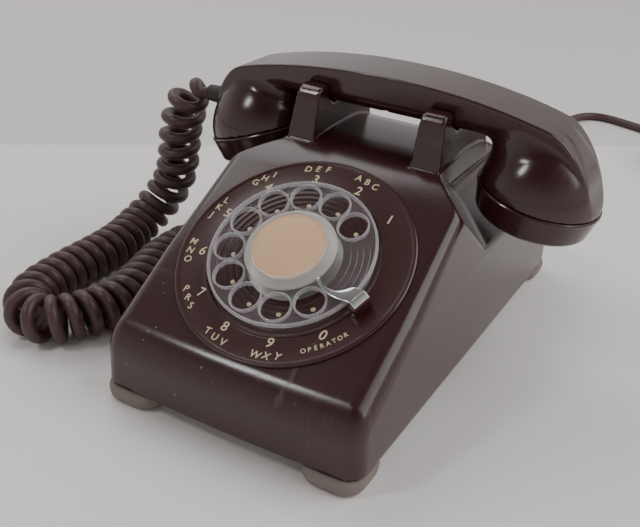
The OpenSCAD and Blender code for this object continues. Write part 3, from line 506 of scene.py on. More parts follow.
def sweep(path: Array, width: float, flat: Array, sides: int = 14) -> Skin:
    """Carries a circle along a path: p + r (cos t u + sin t v), with u and v across it.

    Args:
        path: points of the middle line.
        width: the circle's diameter.
        flat: a direction at each point, or one for all, that u is square to.
        sides: points round the circle.

    Returns:
        The closed skin.
    """
    u, v = across(path, flat)
    t = (np.arange(sides) * TAU / sides)[None, :, None]
    return loft(path[:, None] + width / 2 * (np.cos(t) * u[:, None] + np.sin(t) * v[:, None]))


def smooth_route(points: Sequence[Sequence[float]], gap: float) -> Array:
    """Points at an even spacing on a smooth curve, a Catmull-Rom cubic between each two.

    Args:
        points: the points that the curve goes through.
        gap: the spacing wanted.

    Returns:
        The curve's points.
    """
    p = np.array(points, float)
    p = np.vstack([2 * p[0] - p[1], p, 2 * p[-1] - p[-2]])
    t = np.linspace(0, 1, 24, endpoint=False)[None, :, None]
    a, b, c, d = (p[i:len(p) - 3 + i, None] for i in range(4))
    curve = 0.5 * (2 * b + (c - a) * t + (2 * a - 5 * b + 4 * c - d) * t ** 2
                   + (3 * b - a - 3 * c + d) * t ** 3)
    curve = np.vstack([curve.reshape(-1, p.shape[1]), p[-2]])
    along = lengths(curve)
    even = np.linspace(0, along[-1], int(round(along[-1] / gap)) + 1)
    return np.stack([np.interp(even, along, column) for column in curve.T], -1)


def spin(degrees: float, axis: str) -> Matrix:
    """A turn about an axis of the frame."""
    return Matrix.Rotation(radians(degrees), 4, axis)


def rounded_square(half_x: float, half_y: float, radius: float, steps: int = 8) -> Array:
    """A closed rectangle about the origin, its corners quarter circles.

    Args:
        half_x: half its width.
        half_y: half its height.
        radius: radius of its corners.
        steps: points on each corner.

    Returns:
        Its points.
    """
    t = np.linspace(0, pi / 2, steps)
    turns = [(1, 1, 0), (-1, 1, 1), (-1, -1, 2), (1, -1, 3)]
    return np.vstack([
        np.stack([sx * (half_x - radius) + radius * np.cos(t + q * pi / 2),
                  sy * (half_y - radius) + radius * np.sin(t + q * pi / 2)], -1)
        for sx, sy, q in turns])


# ---------------- moulded forms


def both(a: Array, b: Array, r: float) -> Array:
    """Where two fields overlap, with the edge between them rounded by r."""
    return np.minimum(np.maximum(a, b), -r) + np.hypot(np.maximum(a + r, 0), np.maximum(b + r, 0))


def either(a: Array, b: Array, r: float) -> Array:
    """Where either of two fields is, with the hollow between them filled by radius r."""
    return np.maximum(np.minimum(a, b), r) - np.hypot(np.maximum(r - a, 0), np.maximum(r - b, 0))


def plane(u: Array, v: Array, normal: Pair, spot: Sequence[float]) -> Array:
    """Distance in front of a plane seen edge on, by its normal and a point on it."""
    return normal[0] * (u - spot[0]) + normal[1] * (v - spot[1])


def rod(u: Array, v: Array, w: Array, at: Sequence[float], radius: float, half: float) -> Array:
    """A round bar along w: its middle in u, v and w, its radius and half its length."""
    return np.maximum(np.hypot(u - at[0], v - at[1]) - radius, np.abs(w - at[2]) - half)


def polygon_field(u: Array, v: Array, outline: Array) -> Array:
    """Distance to a closed outline in a plane.

    The distance is the least over the sides, and a point is inside where a ray from it
    crosses an odd number of sides.

    Args:
        u: the points' first coordinate in the plane.
        v: their second coordinate.
        outline: the outline's corners.

    Returns:
        The distance, negative inside.
    """
    near = np.full(u.shape, np.inf)
    sign = np.ones(u.shape)
    for (ax, ay), (bx, by) in zip(outline, np.roll(outline, -1, 0)):
        ex, ey = bx - ax, by - ay
        wu, wv = u - ax, v - ay
        t = np.clip((wu * ex + wv * ey) / (ex * ex + ey * ey), 0, 1)
        near = np.minimum(near, (wu - ex * t) ** 2 + (wv - ey * t) ** 2)
        over, under, left = v >= ay, v < by, ex * wv > ey * wu
        sign = np.where((over & under & left) | (~over & ~under & ~left), -sign, sign)
    return sign * np.sqrt(near)


def gradient(form: Scalar, points: Array, step: float = 0.05) -> Array:
    """Slope of a field by central differences.

    Args:
        form: the field.
        points: where the slope is wanted.
        step: how far each difference reaches.

    Returns:
        The slope along each axis.
    """
    columns = []
    for k in range(3):
        shift = np.zeros(3)
        shift[k] = step
        columns.append(form(*(points + shift).T) - form(*(points - shift).T))
    return np.stack(columns, -1) / (2 * step)


def mould(form: Scalar, low: Sequence[float], high: Sequence[float], cell: float) -> Skin:
    """The skin where a field is zero, in four-cornered faces, with a normal at each point.

    Each cell of a lattice that the skin passes through gets a point, the mean of the
    crossings on its edges, which is then moved along the field's gradient onto the skin.
    Each lattice edge that the skin crosses gets a face between the four cells around it.

    Args:
        form: the field, negative inside, from x, y and z in millimetres.
        low: the lattice's lowest corner.
        high: its highest corner.
        cell: its spacing.

    Returns:
        The closed skin.
    """
    ticks = [np.arange(a, b + cell, cell) for a, b in zip(low, high)]
    value = form(*np.meshgrid(*ticks, indexing="ij"))
    shape = [n - 1 for n in value.shape]
    inside = value < 0

    def part(box: Array, dx: int, dy: int, dz: int) -> Array:
        """The box of lattice values at one corner of every cell."""
        return box[dx:dx + shape[0], dy:dy + shape[1], dz:dz + shape[2]]

    corners = [(dx, dy, dz) for dx in (0, 1) for dy in (0, 1) for dz in (0, 1)]
    count = sum(part(inside, *c).astype(np.int8) for c in corners)
    active = (count > 0) & (count < 8)
    index = np.full(shape, -1)
    index[active] = np.arange(active.sum())
    total, hits = np.zeros((active.sum(), 3)), np.zeros(active.sum())
    for a in corners:
        for k in range(3):
            if a[k]:
                continue
            b = tuple(1 if i == k else a[i] for i in range(3))
            da, db = part(value, *a)[active], part(value, *b)[active]
            cross = (da < 0) != (db < 0)
            t = np.where(cross, da / np.where(cross, da - db, 1), 0)
            spot = np.tile(np.array(a, float), (len(t), 1))
            spot[:, k] = t
            total += spot * cross[:, None]
            hits += cross
    base = np.stack(np.nonzero(active), -1)
    points = (base + total / hits[:, None]) * cell + np.array([tick[0] for tick in ticks])
    quads = []
    for k in range(3):
        a, b = (k + 1) % 3, (k + 2) % 3
        lower = np.moveaxis(inside, (k, a, b), (0, 1, 2))
        cells = np.moveaxis(index, (k, a, b), (0, 1, 2))
        n = cells.shape
        first, second = lower[:-1, 1:n[1], 1:n[2]], lower[1:, 1:n[1], 1:n[2]]
        i, j, m = np.nonzero(first != second)
        around = ((0, 0), (1, 0), (1, 1), (0, 1))
        face = np.stack([cells[i, j + dj, m + dm] for dj, dm in around], -1)
        out = first[i, j, m]
        quads.append(np.where(out[:, None], face, face[:, ::-1]))
    for _ in range(SETTLING_STEPS):
        slope = gradient(form, points)
        reach = form(*points.T)[:, None] * slope / np.maximum((slope ** 2).sum(1), 0.2)[:, None]
        points = points - np.clip(reach, -0.5 * cell, 0.5 * cell)
    slope = gradient(form, points)
    return Skin(points, np.vstack(quads), normals=slope / norm(slope, axis=1)[:, None])


# ---------------- pieces


def shown(name: str, data: Any) -> bpy.types.Object:
    """Puts a mesh, curve, camera or lamp in the scene.

    Args:
        name: the object's name.
        data: what it shows.

    Returns:
        The object.
    """
    made = bpy.data.objects.new(name, data)
    bpy.context.scene.collection.objects.link(made)
    return made


def from_curve(curve: bpy.types.Curve) -> Skin:
    """Takes the triangles of a text or flat curve, as Blender fills and thickens it.

    Args:
        curve: the curve, which is removed.

    Returns:
        The closed skin.
    """
    holder = shown("outline", curve)
    bpy.context.view_layer.update()
    filled = holder.evaluated_get(bpy.context.evaluated_depsgraph_get())
    mesh = bpy.data.meshes.new_from_object(filled)
    mesh.calc_loop_triangles()
    points, faces = np.empty(len(mesh.vertices) * 3), np.empty(len(mesh.loop_triangles) * 3, int)
    mesh.vertices.foreach_get("co", points)
    mesh.loop_triangles.foreach_get("vertices", faces)
    bpy.data.objects.remove(holder)
    bpy.data.curves.remove(curve)
    bpy.data.meshes.remove(mesh)
    return Skin(points.reshape(-1, 3), np.zeros((0, 4), int), faces.reshape(-1, 3))


def plate(outlines: Sequence[Array], low: float, high: float, bevel: float) -> Skin:
    """A flat plate with holes, its edges rounded.

    Args:
        outlines: the closed outer outline, then the holes', as points in a plane.
        low: height of its underside.
        high: height of its top.
        bevel: radius of its edges.

    Returns:
        The closed skin.
    """
    curve = bpy.data.curves.new("plate", "CURVE")
    curve.dimensions, curve.fill_mode = "2D", "BOTH"
    curve.extrude, curve.bevel_depth = (high - low) / 2 - bevel, bevel
    curve.offset, curve.bevel_resolution = -bevel, 2
    for outline in outlines:
        spline = curve.splines.new("POLY")
        spline.points.add(len(outline) - 1)
        flat = np.hstack([outline, np.zeros((len(outline), 1)), np.ones((len(outline), 1))])
        spline.points.foreach_set("co", flat.ravel())
        spline.use_cyclic_u = True
    skin = from_curve(curve)
    skin.points[:, 2] += (low + high) / 2
    return skin


def circle(radius: float, steps: int, centre: Sequence[float] = (0, 0)) -> Array:
    """Points of a circle: centre + r (cos t, sin t)."""
    t = np.arange(steps) * TAU / steps
    return np.stack([centre[0] + radius * np.cos(t), centre[1] + radius * np.sin(t)], -1)


def lettering(words: Sequence[tuple[str, float, float, float, float]], rise: float) -> Skin:
    """Printed characters as thin raised shapes, all in one skin.

    Args:
        words: text, height of its capitals, x and y of its middle, and its turn in degrees.
        rise: thickness of the print.

    Returns:
        The closed skin.
    """
    out = empty_skin()
    for text, height, x, y, turn in words:
        curve = bpy.data.curves.new("print", "FONT")
        curve.body, curve.size, curve.extrude = text, height / CAPITAL_HEIGHT, rise / 2
        curve.align_x, curve.align_y, curve.offset = "CENTER", "CENTER", height * 0.012
        curve.resolution_u, curve.shear = 4, 0.06
        at = Matrix.Translation((x, y, rise / 2)) @ spin(turn, "Z")
        out = out.joined(from_curve(curve).placed(at))
    return out


@dataclass
class Assembly:
    """Pieces that ride on one body unless they are told otherwise."""

    body: str = "base"

    def piece(self, name: str, skin: Skin, finish: Finish, slot: str, nodes: Sequence[str] = (),
              body: str | None = None, crease: float = 32.0) -> bpy.types.Object:
        """Makes a piece's object.

        Args:
            name: the piece's name.
            skin: its mesh, in millimetres.
            finish: what it is made of.
            slot: the record's material slot that the finish stands for; not used.
            nodes: the solids that it takes the place of.
            body: the body that it rides on, the assembly's own by default; "" for none.
            crease: the angle in degrees above which an edge stays sharp.

        Returns:
            The object.
        """
        mesh = bpy.data.meshes.new(name)
        mesh.from_pydata((skin.points * MM).tolist(), [],
                         skin.quads.tolist() + skin.triangles.tolist())
        if skin.normals is None:
            net = bmesh.new()
            net.from_mesh(mesh)
            bmesh.ops.remove_doubles(net, verts=net.verts, dist=2e-7)
            bmesh.ops.recalc_face_normals(net, faces=net.faces)
            net.to_mesh(mesh)
            net.free()
        mesh.polygons.foreach_set("use_smooth", np.ones(len(mesh.polygons), bool))
        if skin.normals is None:
            mesh.set_sharp_from_angle(angle=radians(crease))
        else:
            mesh.normals_split_custom_set_from_vertices(skin.normals.tolist())
        mesh.materials.append(finish.material)
        made = shown(name, mesh)
        if body != "":
            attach(made, body or self.body)
        if nodes:
            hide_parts(*nodes)
        LOG.info("%s: %d faces", name, len(mesh.polygons))
        return made


# ---------------- studio


@dataclass
class Studio:
    """Camera, lamps, the light of the room and the pale table."""

    eye: Triple = (0.18050, -0.37742, 0.25661)
    turns: Triple = (28.328, 61.971, 3.4455)
    lens: float = 51.63

    def build(self) -> None:
        """Makes everything around the telephone."""
        self.camera()
        self.lamp("key", 152, 50, 1.8, (1.2, 0.85), 8.5)
        self.lamp("window", -131, 50, 1.6, (0.16, 0.34), 3.6)
        self.lamp("fill", 22, 46, 1.8, (1.5, 1.4), 16.0)
        self.room()
        self.floor()

    def camera(self) -> None:
        """Places the camera: a turn about Z, a tilt about X and a roll."""
        data = bpy.data.cameras.new("camera")
        data.lens, data.sensor_width, data.clip_end = self.lens, 36.0, 20.0
        made = shown("camera", data)
        about, tilt, roll = self.turns
        made.matrix_world = (Matrix.Translation(self.eye) @ spin(about, "Z") @ spin(tilt, "X")
                             @ spin(roll, "Z"))
        bpy.context.scene.camera = made

    def lamp(self, name: str, around: float, up: float, far: float, size: Pair,
             power: float) -> None:
        """Makes a soft box that looks at the telephone.

        Args:
            name: the lamp's name.
            around: its direction from the telephone, in degrees from +X.
            up: its height above the horizon, in degrees.
            far: its distance in metres.
            size: its width and height in metres.
            power: its watts.
        """
        data = bpy.data.lights.new(name, "AREA")
        data.shape, data.size, data.size_y, data.energy = "RECTANGLE", *size, power
        made = shown(name, data)
        a, e = radians(around), radians(up)
        at = Vector((cos(a) * cos(e), sin(a) * cos(e), sin(e))) * far
        made.location = at + Vector((0, 0, 0.05))
        made.rotation_euler = at.to_track_quat("Z", "Y").to_euler()

    def room(self) -> None:
        """Lights the world: pale near the horizon and behind, dim overhead and at the front."""
        web = Web(bpy.data.worlds.new("room"))
        _, y, z = web.axes(web.node("ShaderNodeTexCoord").outputs["Generated"])
        front = (y * -1).ramp(0.1, 0.7) * (z + 0.1).ramp(0.0, 0.3)
        level = z.ramp(0.3, 0.8) * -0.56 + 0.78 - front * 0.2
        back = web.node("ShaderNodeBackground", None, {"Color": (1.0, 0.985, 0.97),
                                                       "Strength": level})
        web.node("ShaderNodeOutputWorld", None, {0: back.outputs[0]})
        bpy.context.scene.world = web.owner

    def floor(self) -> None:
        """Makes the pale table, greyer past a soft edge."""
        web = Web(bpy.data.materials.new("table_top"))
        x, y, _ = web.axes(web.coords)
        far = (y - x * EDGE_SLOPE - EDGE_Y).ramp(0.0, 0.006)
        cloud = web.noise(3.0, 3).ramp(0.2, 0.8)
        tone = web.blend(far, (0.96, 0.925, 0.91), (0.80, 0.765, 0.755))
        tone = web.blend(cloud * 0.1, tone, (0.70, 0.665, 0.655))
        web.surface(Base_Color=tone, Roughness=cloud * 0.1 + 0.5,
                    Normal=web.bump(web.noise(400, 2), 0.00002))
        mesh = bpy.data.meshes.new("table")
        corners = [(-4, -3, 0), (4, -3, 0), (4, 3.2, 0), (-4, 3.2, 0)]
        mesh.from_pydata(corners, [], [(0, 1, 2, 3)])
        mesh.materials.append(web.owner)
        table = shown("table", mesh)


# ---------------- cords


@dataclass
class Cords(Assembly):
    """The curly handset cord and the line cord with what ends them."""

    curl_route: tuple = (
        (-110.5, 21.5, 99), (-114.5, 21.7, 98.8), (-118.3, 22, 97.6), (-121.8, 22.3, 95),
        (-125.5, 22.7, 89.5), (-129, 22.8, 82), (-131.3, 23.2, 74), (-132.7, 23.6, 66.5),
        (-134, 24, 56), (-136, 24, 45.5), (-138.7, 22.8, 37), (-142, 20, 29.8),
        (-145.5, 15.5, 22.8), (-147.6, 9, 17.6), (-148.2, 0, 14.2), (-147.2, -8, 12.9),
        *((x, y, 12.7) for x, y in (
            (-145.3, -17), (-144.1, -28), (-143.8, -40), (-144, -52), (-144, -64), (-143.5, -74),
            (-142.3, -84), (-139, -94), (-132.5, -102), (-124, -105.3), (-116, -102.5),
            (-109.5, -94.5), (-105, -85), (-102.3, -75), (-101.8, -64), (-103.5, -53),
            (-107, -40), (-110.5, -27), (-112, -13), (-111.5, 0), (-108, 12), (-101, 23.5))),
        (-92, 31.5, 12.9), (-83, 36, 14.5), (-74.2, 37, 16.5))
    line_route: tuple = (
        (20, 132.1, 17), (19.5, 142, 14.5), (18, 154, 9.5), (16, 167, 5), (13, 181, 3.5),
        *((x, y, 3.3) for x, y in (
            (8, 200), (1, 224), (-6, 252), (-10, 280), (-11.5, 308), (-10.5, 334), (-8, 358),
            (-4, 380), (-1, 394), (2.5, 406.5), (6.4, 414.9), (12, 420.8), (19.6, 423.9),
            (29, 424), (42, 420.6), (56, 416.4), (72, 411), (88, 405))),
        (101, 400, 3.4), (114, 396.5, 3.8), (127, 395.3, 3.95))
    end_route: tuple = (
        (165.3, 357, 23.4), (165.5, 348, 22.6), (165.2, 336, 19.6), (163.8, 324, 16.4),
        (162, 312, 15))
    strand: float = 6.6
    line: float = 6.4
    curl: float = 9.2
    coil_at: tuple = (127, 357)
    coil_radii: tuple = (31.7, 38.3)
    coil_z: float = 3.95
    layer: float = 6.5

    def build(self) -> None:
        self.curly()
        self.plain()

    def curly(self) -> None:
        """The curly cord: route + R (cos a u + sin a v), where a grows by a turn each pitch.

        The pitch grows towards the handset, and R from nearly nothing at both ends.
        """
        path = smooth_route(self.curl_route, 0.35)
        u, v = across(path, np.array([0.6, -0.5, -0.6]))
        along = lengths(path)
        end = np.minimum(along, along[-1] - along)
        radius = np.interp(end, [0, 3.6, 9.6, 18.0], [0.9, 1.4, 5.4, self.curl])
        pitch = np.interp(path[:, 2], [12.7, 30, 60, 85], [8.2, 9.2, 10.2, 12.0])
        turns = np.diff(along) * TAU * 2 / (pitch[1:] + pitch[:-1])
        angle = np.concatenate([[0], np.cumsum(turns)])
        out = radius[:, None] * (np.cos(angle)[:, None] * u + np.sin(angle)[:, None] * v)
        wire, out = (path + out)[::-1], out[::-1]
        length = float(lengths(wire)[-1])
        skin = sweep(wire, self.strand, out)
        made = self.piece("curly_cord", skin, Finish.CORD, "cord_rubber", ["handset_cord"],
                          body="")
        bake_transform(made)
        self.gland()
        LOG.info("curly cord: %.0f mm of wire on %.0f mm", length, along[-1])

    def gland(self) -> None:
        """The rubber relief at the handset's left end, a ribbed cone."""
        ribs = []
        for i in range(4):
            less, on = 0.15 * i, 2.6 * i
            ribs += [(4.7 - less, 2.2 + on, 0.3), (5.0 - less, 4.4 + on, 0.5)]
        profile = rounded([(0, -6.5, 0), (2.9, -6.5, 0.4), (2.9, 0.0, 0), (5.5, 0.0, 0.6),
                           (5.4, 1.6, 0.5), *ribs, (0, 12.5, 0)], 3)
        at = Matrix.Translation((-97.4, CRADLE_Y, 99)) @ spin(-90, "Y")
        self.piece("cord_gland", revolve(profile, 40).placed(at), Finish.GLAND, "foot_rubber",
                   ["handset_cord_gland"], "handset")

    def plain(self) -> None:
        """The line cord: its route, then clockwise turns in two columns and four layers.

        The last 15 % of each turn eases to the radius and height of the next.
        """
        first = smooth_route(self.line_route, 1.2)[:-1]
        turns, steps, held, eased = 7.25, 140, 0.85, 0.15
        t = np.arange(int(turns * steps) + 1) / steps
        whole = np.minimum(t.astype(int), int(turns))
        ease = np.clip((t - whole - held) / eased, 0, 1)
        ease = ease * ease * (3 - 2 * ease)
        column = np.array([1, 0, 0, 1, 1, 0, 0, 1, 1])
        level = np.array([0, 0, 1, 1, 2, 2, 3, 3, 3])
        low, high = self.coil_radii
        r = low + (high - low) * (column[whole] * (1 - ease) + column[whole + 1] * ease)
        z = self.coil_z + self.layer * (level[whole] * (1 - ease) + level[whole + 1] * ease)
        a = pi / 2 - TAU * t
        wound = np.stack([self.coil_at[0] + r * np.cos(a), self.coil_at[1] + r * np.sin(a), z], -1)
        last = smooth_route(self.end_route, 1.2)[1:]
        path = np.vstack([first, wound, last])
        length = float(lengths(path)[-1])
        skin = sweep(path, self.line, np.array([0.05, 0.03, 1.0]))
        made = self.piece("line_cord_run", skin, Finish.CORD, "cord_rubber",
                          ["line_cord", "line_cord_coil", "line_cord_end"])
        LOG.info("line cord: %.0f mm", length)


# ---------------- housing


@dataclass
class Housing(Assembly):
    """The moulded body with its face, crown, cradle rails and the bays under the caps."""

    half_width: float = 65.5
    half_depth: float = 123.0
    bottom: float = 8.0
    crown_z: float = 101.0
    crown_arch: float = 526.0
    rail_x: tuple = (26.0, 40.6)
    rail_z: float = 98.5
    rail_height: float = 20.5
    wall: float = 3.0
    cradle_y: float = CRADLE_Y
    cell: float = 1.4

    def rail_outline(self) -> Array:
        """Side view of a rail: a prong at each end and a seat between them."""
        half = rounded([(32.5, 88.5, 0), (31.0, 98.5, 0), (25.6, 122.6, 6.5), (16.4, 124.2, 1.6),
                        (15.4, 117.4, 2.0), (11.0, 113.7, 0)], 4)
        return np.vstack([half, (half * (-1, 1))[::-1]])

    def outer(self, x: Array, y: Array, z: Array) -> Array:
        """The outside without its bottom: rounded planes, less the bays, plus the rails.

        Args:
            x: places across the telephone, in millimetres.
            y: places along it.
            z: heights.

        Returns:
            The field at those places, negative inside.
        """
        side_x = np.abs(x)
        side = np.maximum(side_x - self.half_width + 0.022 * (z - self.bottom),
                          side_x - 64.4 + 0.103 * (z - 58))
        front = 1.5 * (x / 65) ** 2 - self.half_depth - y
        walls = both(both(side, front, 8), y - self.half_depth, 12)
        face = plane(y, z, FACE_NORMAL, (-123, 34.3))
        crown = z - self.crown_z + (y - self.cradle_y) ** 2 / self.crown_arch
        rear = plane(y, z, (0.62251, 0.78261), (123, 46))
        top = both(both(face, crown, 6), rear, 12)
        soft = np.maximum(np.interp(z, [40, 95], [9.5, 5]), np.interp(y, [40, 90], [5, 9]))
        body = both(walls, top, soft)
        bay_wall = plane(side_x, z, (0.9998, 0.0178), (40.8, 98.5))
        bay_floor = plane(side_x, z, (0.5332, 0.8461), (41.2, 76))
        bay_end = 0.695 * (side_x - 42.5) + 0.428 * (y + 13.5) + 0.576 * (z - 100)
        body = both(body, either(either(bay_wall, bay_floor, 11), bay_end, 1.6), 1.2)
        (near, far), lift = self.rail_x, (z - self.rail_z) / self.rail_height
        sides = both(near + 0.5 * lift - side_x, side_x - far + 1.5 * lift, 1.2)
        rail = both(sides, polygon_field(y - self.cradle_y, z, self.rail_outline()), 0.9)
        return either(body, rail, 0.8)

    def form(self, x: Array, y: Array, z: Array) -> Array:
        """The whole housing: a wall under the outside, with its holes and screw bosses.

        Args:
            x: places across the telephone, in millimetres.
            y: places along it.
            z: heights.

        Returns:
            The field at those places, negative inside.
        """
        side_x = np.abs(x)
        outer = self.outer(x, y, z)
        inner = outer + self.wall
        bosses = np.minimum(np.hypot(side_x - 22, y + 113), np.hypot(side_x - 7, y - 113)) - 4.5
        inner = np.maximum(inner, -np.maximum(bosses, 10.9 - z))
        shell = np.maximum(both(outer, self.bottom - z, 0.8), -inner)
        out_of_face = plane(y, z, FACE_NORMAL, DIAL_CENTRE[1:])
        up_face = plane(y, z, (FACE_NORMAL[1], -FACE_NORMAL[0]), DIAL_CENTRE[1:])
        well = rod(x, up_face, out_of_face, (0, 0, 0), 52, 9)
        plungers = rod(side_x, y, z, (33.3, self.cradle_y, 111), 4.0, 8)
        left = rod(y, z, x, (37, 16.5, -65), 4.7, 6)
        back = rod(x, z, y, (20, 17, 123), 4.7, 6)
        holes = np.minimum(np.minimum(well, plungers), np.minimum(left, back))
        return np.maximum(shell, -holes)

    def build(self) -> None:
        """Makes the housing's skin."""
        skin = mould(self.form, (-68.6, -126.4, 5.2), (68.6, 126.4, 126.2), self.cell)
        self.piece("body_moulding", skin, Finish.HOUSING, "housing", ["housing"])


@dataclass
class Feet(Assembly):
    """Four rubber pads under the corners."""

    half: float = 14.6
    corner: float = 9.8
    at: tuple = (51.3, 109.3)
    top: float = 7.98

    def build(self) -> None:
        """Each pad is a stack of rounded squares, narrow below and swelling to its rim."""
        levels = [(0.0, 3.6), (0.25, 2.4), (0.9, 1.3), (2.2, 0.5), (4.2, 0.1), (5.6, 0.0),
                  (6.6, 0.25), (7.3, 0.9), (self.top - 0.15, 1.6), (self.top, 2.2)]
        loops = []
        for z, less in levels:
            square = rounded_square(self.half - less, self.half - less, self.corner - less)
            loops.append(np.column_stack([square, np.full(len(square), z)]))
        pad = loft(np.stack(loops))
        for depth, sy in (("front", -1), ("rear", 1)):
            for side, sx in (("left", -1), ("right", 1)):
                place = Matrix.Translation((sx * self.at[0], sy * self.at[1], 0))
                self.piece(f"pad_{depth}_{side}", pad.placed(place), Finish.FOOT, "foot_rubber",
                           [f"foot_{depth}_{side}"])


# ---------------- dial


@dataclass
class Dial(Assembly):
    """The number ring, the clear finger wheel, its card and the finger stop."""

    wheel: float = 38.5
    hole: float = 6.6
    pitch: float = 29.1
    lift: float = 4.0
    thick: float = 2.0

    @property
    def face(self) -> Matrix:
        """From the dial's own frame, Z out of the face, to the telephone's."""
        return Matrix.Translation(DIAL_CENTRE) @ spin(DIAL_TILT, "X")

    def directions(self) -> list[float]:
        """Directions of the ten finger holes, in degrees from the dial's +X side."""
        return [45.0 + 30.0 * i for i in range(10)]

    def polar(self, radius: float, degrees: float) -> Pair:
        """A point on the face by distance and direction."""
        a = radians(degrees)
        return radius * cos(a), radius * sin(a)

    def build(self) -> None:
        """Makes the ring and its print, the wheel, the middle and the stop."""
        self.number_ring()
        self.print()
        self.finger_wheel()
        self.middle()
        self.stop()

    def number_ring(self) -> None:
        """The ring: a rolled rim, a flat for the print, a step down to a ridged floor."""
        corners = [(55, 0.02, 0), (55, 0.9, 0.3), (54.3, 1.35, 0.4), (53.2, 1.3, 0.4),
                   (52.5, 0.85, 0.3), (41.6, 0.7, 0.5), (40.7, 1.05, 0.3), (40.0, 1.05, 0.3),
                   (39.3, -0.5, 0.3)]
        corners += [(ridge - less, -0.5 + height, 0.12) for ridge in (37.0, 34.2, 31.4, 28.6, 25.8)
                    for less, height in ((0, 0), (0.35, 0.35), (0.9, 0.35), (1.25, 0))]
        corners += [(22, -0.5, 0), (22, -2.5, 0), (41, -2.5, 0), (51.5, -1.3, 0), (51.5, 0.02, 0)]
        skin = revolve(rounded(corners, 3), 192).placed(self.face)
        self.piece("numbered_ring", skin, Finish.RING, "number_ring", ["number_ring"])

    def print(self) -> None:
        """Numbers beside the holes and letters outside them, each standing upright."""
        groups = ["", "ABC", "DEF", "GHI", "JKL", "MNO", "PRS", "TUV", "WXY", ""]
        number_height, number_r, first_r = 4.6, 43.8, 45.3
        letter_height, letter_r, letter_step = 3.3, 50.0, 5.6
        word_height, word_r, word_step, word_middle = 2.1, 48.5, 3.2, 314.5
        words = []
        for i, a in enumerate(self.directions()):
            spot = self.polar(number_r if i else first_r, a)
            words.append((str((i + 1) % 10), number_height, *spot, 0))
            for k, letter in enumerate(groups[i] if a < 180 else groups[i][::-1]):
                spot = self.polar(letter_r, a + letter_step * (1 - k))
                words.append((letter, letter_height, *spot, 0))
        for k, letter in enumerate("OPERATOR"):
            a = word_middle + (k - 3.5) * word_step
            words.append((letter, word_height, *self.polar(word_r, a), a + 90))
        at = self.face @ Matrix.Translation((0, 0, 0.78))
        self.piece("dial_print", lettering(words, 0.12).placed(at), Finish.INK, "card", crease=60)
        dots = empty_skin()
        bead = revolve(rounded([(0, 0, 0), (1.15, 0, 0), (1.05, 0.25, 0.15), (0, 0.35, 0)], 4), 20)
        for a in self.directions():
            dots = dots.joined(bead.placed(Matrix.Translation((*self.polar(self.pitch, a), -0.5))))
        self.piece("dial_dots", dots.placed(self.face), Finish.INK, "card", crease=60)

    def finger_wheel(self) -> None:
        """The wheel: a clear disc with ten holes, a rolled edge and a raised rim at each hole; the
        edge and rims are in a paler copy of the plastic, a painted highlight.
        """
        low, high = self.lift, self.lift + self.thick
        spots = [self.polar(self.pitch, a) for a in self.directions()]
        disc = plate([circle(self.wheel, 160)] + [circle(self.hole, 44, s)[::-1] for s in spots]
                     + [circle(3.3, 24)[::-1]], low, high, 0.3)
        self.piece("clear_wheel", disc.placed(self.face), Finish.CLEAR, "clear_plastic",
                   ["finger_wheel"], "dial")
        lip = rounded([(6.62, low + 0.1, 0), (6.62, high + 0.55, 0.3), (7.35, high + 0.5, 0.35),
                       (7.5, high - 0.05, 0), (7.1, low + 0.1, 0)], 4)
        edge = rounded([(37.4, high - 0.05, 0), (37.7, high + 0.35, 0.25), (38.4, high + 0.2, 0.4),
                        (38.55, low + 0.4, 0.5), (38.0, low - 0.02, 0.2), (37.4, low, 0)], 4)
        rims = revolve(edge, 160)
        for s in spots:
            rims = rims.joined(revolve(lip, 44).placed(Matrix.Translation((*s, 0))))
        # The lips and the edge are real shapes; their paler, more opaque plastic is a painted
        # highlight.
        self.piece("wheel_rims", rims.placed(self.face), Finish.RIM, "clear_plastic", (), "dial")

    def middle(self) -> None:
        """The number card under its bevelled clear cover."""
        cover = rounded([(0, 9.55, 0), (16.7, 9.55, 0.1), (16.7, 9.95, 0.1), (0, 9.95, 0)], 4)
        self.piece("card_cover", revolve(cover[::-1], 96).placed(self.face), Finish.WINDOW,
                   "clear_plastic", ["card_window"], "dial")
        bezel = rounded([(16.9, 9.3, 0), (17.35, 6.1, 0.1), (21.0, 6.05, 0.2), (20.9, 7.2, 0.4),
                         (18.4, 9.9, 0.5), (17.3, 10.35, 0.4), (16.6, 10.0, 0.2)], 4)
        bezel = np.vstack([bezel, bezel[:1]])
        self.piece("card_bezel", revolve(bezel, 128).placed(self.face), Finish.BEZEL,
                   "clear_plastic", (), "dial")
        card = rounded([(0, 9.0, 0), (16.8, 9.0, 0.05), (16.8, 9.45, 0.05), (0, 9.45, 0)], 2)
        self.piece("blank_card", revolve(card, 96).placed(self.face), Finish.CARD, "card",
                   ["number_card"], "dial")

    def stop(self) -> None:
        """The finger stop: a curved arm that widens to a folded tab, over a dark foot."""
        edge = smooth_route([(21.4, -2.1), (22.2, -1.2), (24.5, -2.3), (28, -2.5), (31.9, -1.5),
                             (34.4, 1.2), (36.5, 4.9), (38.9, 6.3), (41.4, 6.9)], 0.7)
        back = smooth_route([(41.4, -1.2), (39, -1.9), (35, -3.6), (29.6, -4.5), (25, -3.9),
                             (22.2, -3.0)], 0.7)
        turn = self.face @ spin(-22, "Z")
        arm = plate([np.vstack([edge, back])[::-1]], 7.1, 8.3, 0.3)
        tab = plate([rounded_square(1.9, 4.1, 0.5, 4)], -0.6, 0.6, 0.25)
        tab = tab.placed(Matrix.Translation((42.5, 2.9, 6.9)) @ spin(38, "Y"))
        self.piece("stop_hook", arm.joined(tab).placed(turn), Finish.STEEL, "polished_steel",
                   ["finger_stop"])
        foot = plate([rounded_square(2.3, 4.6, 0.8, 4)], 0.85, 6.4, 0.4)
        self.piece("stop_foot", foot.placed(turn @ Matrix.Translation((42.6, 2.3, 0))), Finish.RING,
                   "number_ring")


# ---------------- handset


